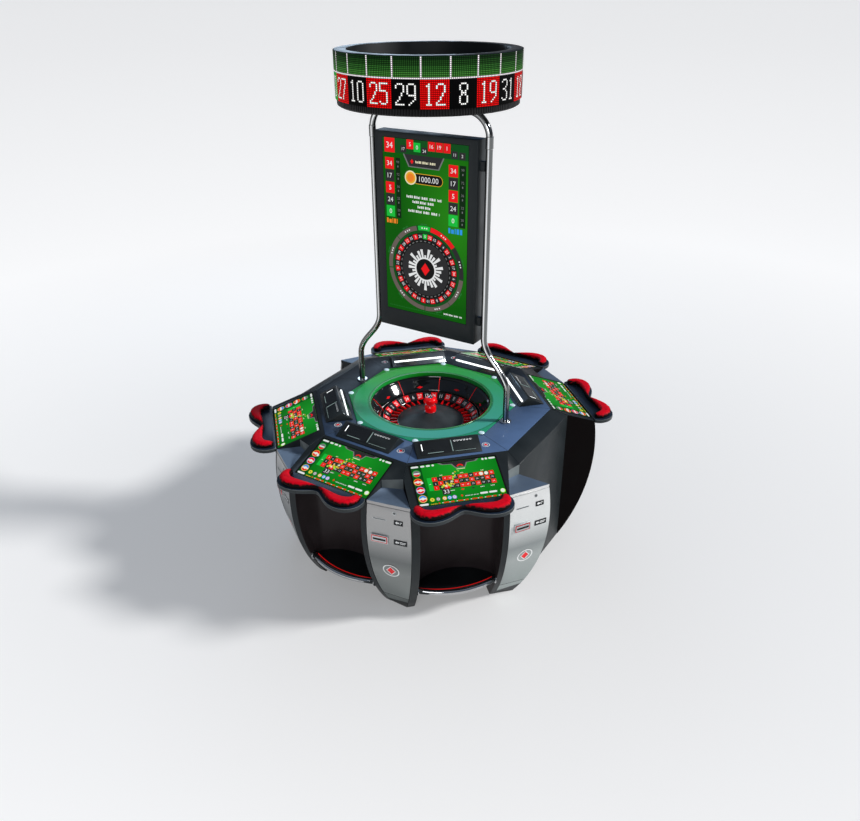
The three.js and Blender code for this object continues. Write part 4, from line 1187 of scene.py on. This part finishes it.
# A plain mark with no meaning: a card player's red diamond in a white ring.
def emblem(art, wide):
    art.arc(0, 0, 0.43 * wide, 0.5 * wide, 0, 360, "print_white", 1)
    art.outline([(0.3 * wide, 0), (0, 0.37 * wide), (-0.3 * wide, 0), (0, -0.37 * wide)], "print_white", 1)
    art.outline([(0.24 * wide, 0), (0, 0.3 * wide), (-0.24 * wide, 0), (0, -0.3 * wide)], "red", 2)


def make_door_fittings(letter, turn, body):
    wide, tall = 232, (DOOR_HIGH - DOOR_LOW) / MM

    def panel(across, down, w):
        centre = door_point(across, down)
        right = door_point(across + 0.1, down) - door_point(across - 0.1, down)
        normal = door_normal(down)
        return basis(centre + normal * w, right, normal)

    flat = Drawing(0.35, 0.35)
    flat.arc(0, 0, 6.5, 10, 0, 360, "silver_edge", 2)
    flat.disc(0, 0, 6.5, "slot_black", 1)
    flat.rect(-0.8, -4, 0.8, 4, "silver_edge", 3)
    flat.build(f"door_lock_{letter}", panel(0.64, 0.034, 0.0002), body, turn)
    slot = Drawing(0.35, 0.35)
    slot.pill(-0.17 * wide, -4, 0.17 * wide, 4, "silver_edge", 1, 3)
    slot.pill(-0.15 * wide, -1.6, 0.15 * wide, 1.6, "slot_black", 2, 1)
    slot.build(f"door_ticket_slot_{letter}", panel(0.3, 0.107, 0.0002), body, turn)
    labels = (("ticket", 0.727, 0.11, 0.11 * wide, 15), ("note", 0.76, 0.291, 0.16 * wide, 17))
    for name, across, down, half_u, half_v in labels:
        label = Drawing(0.3, 0.3)
        label.pill(-half_u, -half_v, half_u, half_v, "label_black", 1, 3)
        tip = -half_u + 8
        arrow = ((0, 0), (10, 9), (10, 4), (22, 4), (22, -4), (10, -4), (10, -9))
        label.outline([(tip + u, v) for u, v in arrow], "print_white", 2)
        label.pill(tip + 26, 2, half_u - 6, 6, "print_white", 2, 1)
        label.pill(tip + 26, -6, half_u - 12, -2, "print_white", 2, 1)
        label.build(f"door_label_{name}_{letter}", panel(across, down, 0.0002), body, turn)
    badge = Drawing(0.3, 0.3)
    emblem(badge, 96)
    badge.build(f"door_emblem_{letter}", panel(0.5, 0.62, 0.0002), body, turn)
    bezel = Drawing(4.0, 4.0)
    half_u, half_v = 0.21 * wide, 0.036 * tall
    bezel.pill(-half_u, -half_v, half_u, half_v, "silver_edge", 1, 6)
    bezel.build(f"door_note_bezel_{letter}", panel(0.297, 0.285, 0.0002), body, turn)
    mouth = Drawing(0.6, 0.6)
    mouth.pill(-half_u + 4, -half_v + 4, half_u - 4, half_v - 4, "lamp_red", 1, 4)
    mouth.pill(-half_u + 8, -half_v + 8, half_u - 8, half_v - 8, "silver_edge", 2, 3)
    mouth.pill(-half_u + 13, -7, half_u - 12, 5, "slot_black", 3, 2)
    mouth.build(f"door_note_mouth_{letter}", panel(0.297, 0.285, 0.0083), body, turn)


# The outline of a flat node's top, in order, with its triangles merged.
def outline_of(node):
    mesh = bmesh.new()
    mesh.from_mesh(NODES[node].data)
    bmesh.ops.remove_doubles(mesh, verts=mesh.verts, dist=0.00002)
    top = [face for face in mesh.faces if face.normal.z > 0.9]
    following = {}
    for face in top:
        for loop in face.loops:
            others = [other for other in loop.edge.link_faces if other is not face]
            if all(other.normal.z < 0.9 for other in others):
                following[loop.vert] = loop.link_loop_next.vert
    start = min(following, key=lambda vert: (round(vert.co.y, 5), vert.co.x))
    loop_points = [start.co.copy()]
    here = following[start]
    while here is not start:
        loop_points.append(here.co.copy())
        here = following[here]
    mesh.free()
    return loop_points


def make_tray(letter, turn):
    node = f"station_{letter}_armrest_tray"

    # Flat faces take the navy painted sheen, upright faces the rim's grey, and upward-tilted bevels a
    # painted highlight.
    def paint_of(centre, normal):
        if abs(normal.z) < 0.3:
            return 1
        return 2 if 0 < normal.z < 0.95 else 0

    refined(node, ["tray", "tray_rim", "tray_edge"], round_edge=0.002, paint_of=paint_of)


# For each edge of a closed line: its start, the edge, and how far along it a point lies.
def along_edges(point, line):
    for i, here in enumerate(line):
        after = line[(i + 1) % len(line)]
        a, b = Vector((here.x, here.y)), Vector((after.x, after.y))
        edge = b - a
        yield a, edge, max(0.0, min(1.0, (point - a).dot(edge) / max(edge.length_squared, 1e-12)))


def distance_to_line(place, line):
    point = Vector((place.x, place.y))
    return min((point - a - edge * t).length for a, edge, t in along_edges(point, line))


# A quarter circle's rise from 0 to 1.
def rounded(share):
    return math.sqrt(1 - (1 - max(0.0, min(1.0, share))) ** 2)


PAD_SHOULDER = 0.014
PAD_PINCH = 0.014
PAD_FOOT = 0.013
PAD_SHADE_REACH = 0.0115
PAD_VOXEL = 0.005
PAD_INSET = 0.0015
PAD_ROOM = 0.007
PAD_OVER = 0.003
PAD_TRAVEL = 0.009
PAD_FRAMES = 20


# One pad is made from the CAD pad: remeshed, pulled in at its edge, swollen as pressed cloth, crowned
# and pinched between its two lobes. The six stations then share its mesh.
def make_pads():
    node = "station_b_armrest_pad"
    line = outline_of(node)
    low, high = LOW[node].z, HIGH[node].z
    source = bmesh.new()
    source.from_mesh(NODES[node].data)
    bmesh.ops.remove_doubles(source, verts=source.verts, dist=0.00002)
    for vert in source.verts:
        if vert.co.z > (low + high) / 2:
            vert.co.z = high - PAD_ROOM
    start = bpy.data.meshes.new("pad_start")
    source.to_mesh(start)
    source.free()
    holder = add_object("pad_start", start)
    remesh = holder.modifiers.new("remesh", "REMESH")
    remesh.mode = "VOXEL"
    remesh.voxel_size = PAD_VOXEL
    flatten_modifiers(holder)
    rest = [vert.co.copy() for vert in holder.data.vertices]
    for vert in holder.data.vertices:
        if distance_to_line(vert.co, line) < PAD_INSET:
            vert.co.x, vert.co.y = pulled_in(vert.co, line, PAD_INSET)
    inflate(holder)
    pinch_x = sum(point.x for point in (LOW[node], HIGH[node])) / 2
    for vert, before in zip(holder.data.vertices, rest):
        move = vert.co - before
        if move.length > PAD_TRAVEL:
            vert.co = before + move * (PAD_TRAVEL / move.length)
        near = distance_to_line(vert.co, line)
        crown = rounded(near / PAD_SHOULDER) * rounded(abs(vert.co.x - pinch_x) / PAD_PINCH)
        if vert.co.z > low + PAD_FOOT:
            vert.co.z = min(vert.co.z, low + PAD_FOOT + (high - low - PAD_FOOT) * crown)
        vert.co.z = min(max(vert.co.z, low), high + PAD_OVER)
    smooth = holder.modifiers.new("smooth", "SMOOTH")
    smooth.factor = 0.5
    smooth.iterations = 6
    subdivide = holder.modifiers.new("subdivide", "SUBSURF")
    subdivide.levels = 1
    flatten_modifiers(holder)
    mesh = holder.data
    # Painted shade: each point's share of lit red falls towards the pad's foot, its outline and the crease
    # between its lobes.
    edge = mesh.attributes.new("painted_light_share", "FLOAT", "POINT")
    values = []
    for vert in mesh.vertices:
        lobe = min(1.0, abs(vert.co.x - pinch_x) / PAD_PINCH)
        inwards = min(1.0, distance_to_line(vert.co, line) / PAD_SHADE_REACH)
        risen = min(1.0, (vert.co.z - low) / (high - low) * 1.05)
        values.append(risen * (0.3 + 0.7 * inwards) * (0.1 + 0.9 * lobe))
    edge.data.foreach_set("value", values)
    mesh.materials.append(PAINT["pad"])
    bpy.data.objects.remove(holder)
    for letter, turn in STATION_TURNS.items():
        pad = add_object(f"armrest_pad_{letter}", mesh)
        pad.rotation_euler.z = turn * DEG
        finish_piece(pad, TABLE, 180)
        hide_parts(f"station_{letter}_armrest_pad")


# The point that lies inset inwards from the nearest place on a closed line.
def pulled_in(place, line, inset):
    point = Vector((place.x, place.y))
    best, nearest = 1.0, point
    for a, edge, t in along_edges(point, line):
        foot = a + edge * t
        if (point - foot).length < best:
            best = (point - foot).length
            nearest = foot + Vector((-edge.y, edge.x)).normalized() * inset
    return nearest


def flatten_modifiers(piece):
    bpy.context.view_layer.update()
    made = bpy.data.meshes.new_from_object(piece.evaluated_get(bpy.context.evaluated_depsgraph_get()))
    piece.modifiers.clear()
    piece.data = made


def inflate(piece):
    cloth = piece.modifiers.new("cloth", "CLOTH")
    cloth.settings.use_pressure = True
    cloth.settings.uniform_pressure_force = 4
    cloth.settings.effector_weights.gravity = 0
    cloth.settings.quality = 5
    cloth.point_cache.frame_start = 1
    cloth.point_cache.frame_end = PAD_FRAMES
    for number in range(1, PAD_FRAMES + 1):
        bpy.context.scene.frame_set(number)
    flatten_modifiers(piece)
    bpy.context.scene.frame_set(1)


def make_station(letter, turn):
    refined(f"station_{letter}_frame", STATION_PAINTS, round_edge=0, paint_of=station_face(turn))
    make_screen_art(letter, turn)
    make_screen_bezel(letter, turn)
    make_console(letter, turn)
    make_foot_rail(letter, turn)
    make_door(letter, turn)
    make_tray(letter, turn)
    refined(f"station_{letter}_screen", ["slot_black"], round_edge=0)


# Posts, display and sign ---------------------------------------------------------------------

# Points of a cubic curve, without its first.
def bezier(a, b, c, d, count):
    def at(t):
        shares = ((1 - t) ** 3, 3 * t * (1 - t) ** 2, 3 * t * t * (1 - t), t ** 3)
        return tuple(sum(share * value for share, value in zip(shares, values))
                     for values in zip(a, b, c, d))

    return [at(i / count) for i in range(1, count + 1)]


def make_posts():
    foot_x, post_x, radius = 0.515, 0.3575, 0.018
    bend_low, bend_high, post_top, pull = 1.107, 1.407, 2.46, 0.12
    foot = DECK_TOP + 0.0004
    for name, side in (("east", 1), ("west", -1)):
        path = [(side * foot_x, 0, foot), (side * foot_x, 0, bend_low)]
        path += bezier((side * foot_x, 0, bend_low), (side * foot_x, 0, bend_low + pull),
                       (side * post_x, 0, bend_high - pull), (side * post_x, 0, bend_high), 24)
        path.append((side * post_x, 0, post_top))
        post = tube(f"post_tube_{name}", path, radius, "post", TABLE, sides=36)
        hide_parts(f"post_{name}")
        flange = [(radius + 0.0004, foot), (0.034, foot), (0.034, foot + 0.005), (0.03, foot + 0.009),
                  (radius + 0.0004, foot + 0.009)]
        piece = lathe(f"post_flange_{name}", flange, ["chrome"], TABLE, 48)
        piece.data.transform(Matrix.Translation((side * foot_x, 0, 0)))
        sleeve = [(radius + 0.0003, post_top - 0.03), (radius + 0.0022, post_top - 0.028),
                  (radius + 0.0022, post_top + 0.028), (radius + 0.0003, post_top + 0.03)]
        piece = lathe(f"post_sleeve_{name}", sleeve, ["post"], TABLE, 48)
        piece.data.transform(Matrix.Translation((side * post_x, 0, 0)))
    bend = 0.129
    start, high, reach, pull = post_top + 0.0004, post_top + 0.0124 + bend, post_x - bend, 0.5523 * bend
    path = [(-post_x, 0, start), (-post_x, 0, start + 0.012)]
    path += bezier((-post_x, 0, start + 0.012), (-post_x, 0, start + 0.012 + pull),
                   (-reach - pull, 0, high), (-reach, 0, high), 20)
    path += bezier((reach, 0, high), (reach + pull, 0, high), (post_x, 0, start + 0.012 + pull),
                   (post_x, 0, start + 0.012), 20)
    path.insert(22, (reach, 0, high))
    path.append((post_x, 0, start))
    arch = tube("top_arch_tube", path, radius, "post", TABLE, sides=36)
    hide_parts("top_arch")


def tile(art, u, v, wide, tall, number, level=4):
    paint = number_paint(number, "px_green", "px_red", "px_tile")
    art.rect(u - wide / 2, v - tall / 2, u + wide / 2, v + tall / 2, paint, level)
    art.word(number, u, v, tall * 0.42, "px_white", level + 1)


# A card player's diamond, which is taller than it's wide.
def card_diamond(art, u, v, wide, paint, level):
    art.outline([(u - wide, v), (u, v - 1.3 * wide), (u + wide, v), (u, v + 1.3 * wide)], paint, level)


def make_display_art(name, side):
    art = Drawing(0.1, 0.08)
    half_u, half_v, border = 265, 480, 1.5
    header = 403
    art.rect(-half_u, -half_v, half_u, half_v, "px_black", 1)
    art.rect(-half_u + border, -half_v + border, half_u - border, half_v - border, "display_felt", 2)
    art.rect(-half_u + border, header, half_u - border, half_v - border, "px_deep", 3)
    tile(art, -219, 440, 65, 74, "34")
    row = (("17", -131, 428), ("5", -89, 454), ("0", -45, 442), ("24", 0, 427), ("16", 44, 454),
           ("19", 91, 454), ("1", 137, 454), ("11", 183, 426), ("2", 228, 424))
    for number, u, v in row:
        tile(art, u, v, *number_paint(number, (42, 47), (42, 47), (36, 36)), number)
    top, pitch = 346, 64
    for u, values_u, wide in ((-222, -168, 15), (176, 232, 19)):
        art.rect(values_u - wide, top - 4.5 * pitch, values_u + wide, top + 0.5 * pitch, "px_shade", 3)
        for i, number in enumerate(("34", "17", "5", "24", "0")):
            v = top - i * pitch
            tile(art, u, v, 56, 60, number)
            art.word(str((99, 72, 36, 22, 20)[i]), values_u, v + 10, 13, "px_grey", 4)
            art.pill(values_u - 3, v - 18, values_u + 3, v - 8, "px_grey", 4, 1)
    art.outline([(-134, header), (-100, 339), (90, 339), (122, header)], "px_grey", 3)
    art.outline([(-126, header), (-94, 344), (84, 344), (114, header)], "px_tile", 4)
    card_diamond(art, -78, 368, 10, "px_red", 5)
    print_line(art, -56, 72, 368, 12, "px_cream")
    art.pill(-74, 255, 113, 311, "px_gold", 4, 27)
    art.pill(-71, 258, 110, 308, "px_black", 5, 24)
    art.word("1000.00", 26, 283, 28, "px_white", 6)
    art.disc(-88, 284, 37, "px_cream", 6)
    art.disc(-88, 284, 31, "px_gold", 7)
    art.disc(-88, 284, 22, "px_orange", 8)
    for v, reach in ((184, 110), (159, 72), (134, 40), (109, 100)):
        print_line(art, -reach - 6, reach - 6, v, 13, "px_white")
    print_line(art, -250, -180, 37, 26, "px_orange")
    print_line(art, 148, 246, 35, 28, "px_blue")
    make_display_wheel(art, 0, -207, 1.27)
    for i in range(38):
        art.rect(-246 + i * 12, -460, -238 + i * 12, -457, "px_line", 4)
    print_line(art, 120, 236, -445, 9, "px_white")
    housing_half, recess, glass = 0.044, 0.0045, 0.004
    middle_z = (LOW["display_screen_front"].z + HIGH["display_screen_front"].z) / 2
    place = basis((0, side * (housing_half - recess + glass), middle_z), (-side, 0, 0), (0, side, 0))
    art.build(name, place, TABLE)


def make_display_wheel(art, u, v, size):
    outer_arcs = ((-11, 7.5, "px_green"), (9, 50, "px_red"), (51.5, 94, "px_tile"), (95.5, 138, "px_brown"),
                  (138.6, 180.5, "px_brown"), (182, 263, "px_brown"), (264.5, 311, "px_brown"),
                  (312, 346.5, "px_brown"))
    art.disc(u, v, 194 * size, "px_deep", 3, 64)
    for start, end, paint in outer_arcs:
        art.arc(u, v, 172 * size, 192 * size, start, end, paint, 4)
        middle = (start + end) / 2
        for dash in (middle - 4.5, middle + 0.5):
            art.arc(u, v, 196 * size, 201 * size, dash, dash + 4, "px_line", 4)
        for swing in (-0.05, 0.02, 0.08):
            angle = middle * DEG + swing
            art.disc(u + 182 * size * math.sin(angle), v + 182 * size * math.cos(angle), 3.4 * size,
                     "px_white", 5, 10)
    art.disc(u, v, 160 * size, "px_black", 4, 64)
    count = len(SINGLE_ZERO_ORDER)
    step = 360 / count
    for k, number in enumerate(SINGLE_ZERO_ORDER):
        turn = k * step
        paint = number_paint(number, "px_green", "px_red", "px_tile")
        art.arc(u, v, 135 * size, 157 * size, turn - step / 2 + 0.5, turn + step / 2 - 0.5, paint, 5)
        reach = 146 * size
        art.word(number, u + reach * math.sin(turn * DEG), v + reach * math.cos(turn * DEG), 15,
                 "px_white", 6, turn=turn)
        art.arc(u, v, 123 * size, 127 * size, turn - step / 4, turn + step / 4, "px_grey", 5)
    art.disc(u, v, 119 * size, "px_tile", 5, 56)
    bars = 28
    for k in range(bars):
        turn = 360 * k / bars
        reach = (64 + 32 * abs(math.sin(k * 1.9)) ** 1.5) * size
        art.arc(u, v, 50 * size, reach, turn - 4.2, turn + 4.2, "px_white", 6)
    art.disc(u, v, 54 * size, "px_white", 7, 40)
    art.disc(u, v, 47 * size, "px_black", 8, 40)
    card_diamond(art, u, v, 28, "px_red", 9)


def make_display():
    refined("display_housing", ["charcoal", "display_top"], round_edge=0.004,
            paint_of=lambda centre, normal: 1 if normal.z > 0.7 else 0)
    refined("display_screen_front", ["slot_black"], round_edge=0)
    refined("display_screen_back", ["slot_black"], round_edge=0)
    make_display_art("display_art_front", -1)
    make_display_art("display_art_back", 1)


# A flat drawing bent round the sign: u runs round it and v up it, in millimetres.
def bend_round(art, name, radius, z, turn):
    verts = []
    for u, v, w in art.verts:
        angle = turn * DEG + u * MM / radius
        reach = radius + w * MM
        verts.append((reach * math.cos(angle), reach * math.sin(angle), z + v * MM))
    make_piece(name, verts, art.faces, art.paints, TABLE, art.indices)


def bent_rect(art, u0, v0, u1, v1, paint, level, parts=4):
    for i in range(parts):
        a = u0 + (u1 - u0) * i / parts
        b = u0 + (u1 - u0) * (i + 1) / parts
        art.rect(a, v0, b, v1, paint, level)


# Digits of single lamps, five wide and twelve high, as the lamps that are lit in each row.
LAMP_DIGITS = {
    "0": ".###. #...# #...# #...# #...# #...# #...# #...# #...# #...# #...# .###.",
    "1": "..#.. .##.. ..#.. ..#.. ..#.. ..#.. ..#.. ..#.. ..#.. ..#.. ..#.. .###.",
    "2": ".###. #...# #...# ....# ....# ...#. ...#. ..#.. ..#.. .#... #.... #####",
    "3": ".###. #...# ....# ....# ...#. .##.. ...#. ....# ....# ....# #...# .###.",
    "4": "...#. ..##. ..##. .#.#. .#.#. #..#. #..#. ##### ...#. ...#. ...#. ..###",
    "5": "##### #.... #.... #.... ####. ....# ....# ....# ....# ....# #...# .###.",
    "6": "..##. .#... #.... #.... ####. #...# #...# #...# #...# #...# #...# .###.",
    "7": "##### ....# ....# ...#. ...#. ...#. ..#.. ..#.. ..#.. .#... .#... .#...",
    "8": ".###. #...# #...# #...# .#.#. .###. .#.#. #...# #...# #...# #...# .###.",
    "9": ".###. #...# #...# #...# #...# #...# .#### ....# ....# ...#. ..#.. .#...",
}
NUMBER_ROWS = 16
DIGIT_FOOT = 2
DIGIT_LAMPS = 5


def lamp_number(art, number, wide, tall):
    left = -(DIGIT_LAMPS * len(number) + len(number) - 1) / 2
    for place, digit in enumerate(number):
        begin = left + place * (DIGIT_LAMPS + 1)
        rows = LAMP_DIGITS[digit].split()
        for k, row in enumerate(rows):
            v = (DIGIT_FOOT + len(rows) - 1 - k) * tall
            for i, mark in enumerate(row):
                if mark == "#":
                    u = (begin + i) * wide
                    art.rect(u, v, u + wide, v + tall, "led_white", 3)


def make_sign():
    def drum_paint(centre, normal):
        radius = math.hypot(centre.x, centre.y)
        if centre.z > HIGH["sign_drum"].z - 0.02 and radius > 0.45:
            return 1
        if radius < 0.44:
            return 2
        if centre.z < LOW["sign_led_band"].z + 0.003:
            return 3
        return 0

    refined("sign_drum", ["navy", "sign_lip", "sign_inside", "sign_base"], round_edge=0.0015,
            paint_of=drum_paint)
    refined("sign_led_band", ["led_black"], round_edge=0)
    radius = HIGH["sign_led_band"].x
    cell = 360 / SIGN_CELLS
    wide, tall = LAMP_PITCH / MM, LAMP_ROW / MM
    half = wide * CELL_LAMPS / 2
    # The middle of a cell stands halfway between two lamps' edges, so that cells hold whole lamps.
    first = -49.5 * 360 / LAMP_COLUMNS
    line = NUMBER_ROWS * tall
    rises = (1, 4, 7, 10, 12)
    start = DOUBLE_ZERO_ORDER.index("12") - SIGN_CELLS // 2
    for k in range(SIGN_CELLS):
        number = DOUBLE_ZERO_ORDER[(start + k) % len(DOUBLE_ZERO_ORDER)]
        art = Drawing(0.3, 2.2)
        paint = number_paint(number, "led_zero", "led_red", "led_black")
        bent_rect(art, -half, 0, half, line, paint, 1, 8)
        lamp_number(art, number, wide, tall)
        bent_rect(art, -half, line, half, line + tall, "led_line", 2, 8)
        for shade, (rise, after) in enumerate(zip(rises, rises[1:])):
            bent_rect(art, -half, line + rise * tall, half, line + after * tall,
                      f"led_green_{shade + 1}", 1, 8)
        bent_rect(art, -half, line + tall, -half + wide, line + rises[-1] * tall, "led_line", 2, 1)
        turn = first + (k - SIGN_CELLS // 2) * cell
        bend_round(art, f"sign_cell_{k + 1}", radius, SIGN_FOOT, turn)


# Assembly ------------------------------------------------------------------------------------

make_camera()
make_studio()
make_floor()
make_body()
make_deck_details()
make_bowl()
make_rotor()
make_turret()
make_ball()
for station, degrees in STATION_TURNS.items():
    make_station(station, degrees)
make_pads()
make_posts()
make_display()
make_sign()
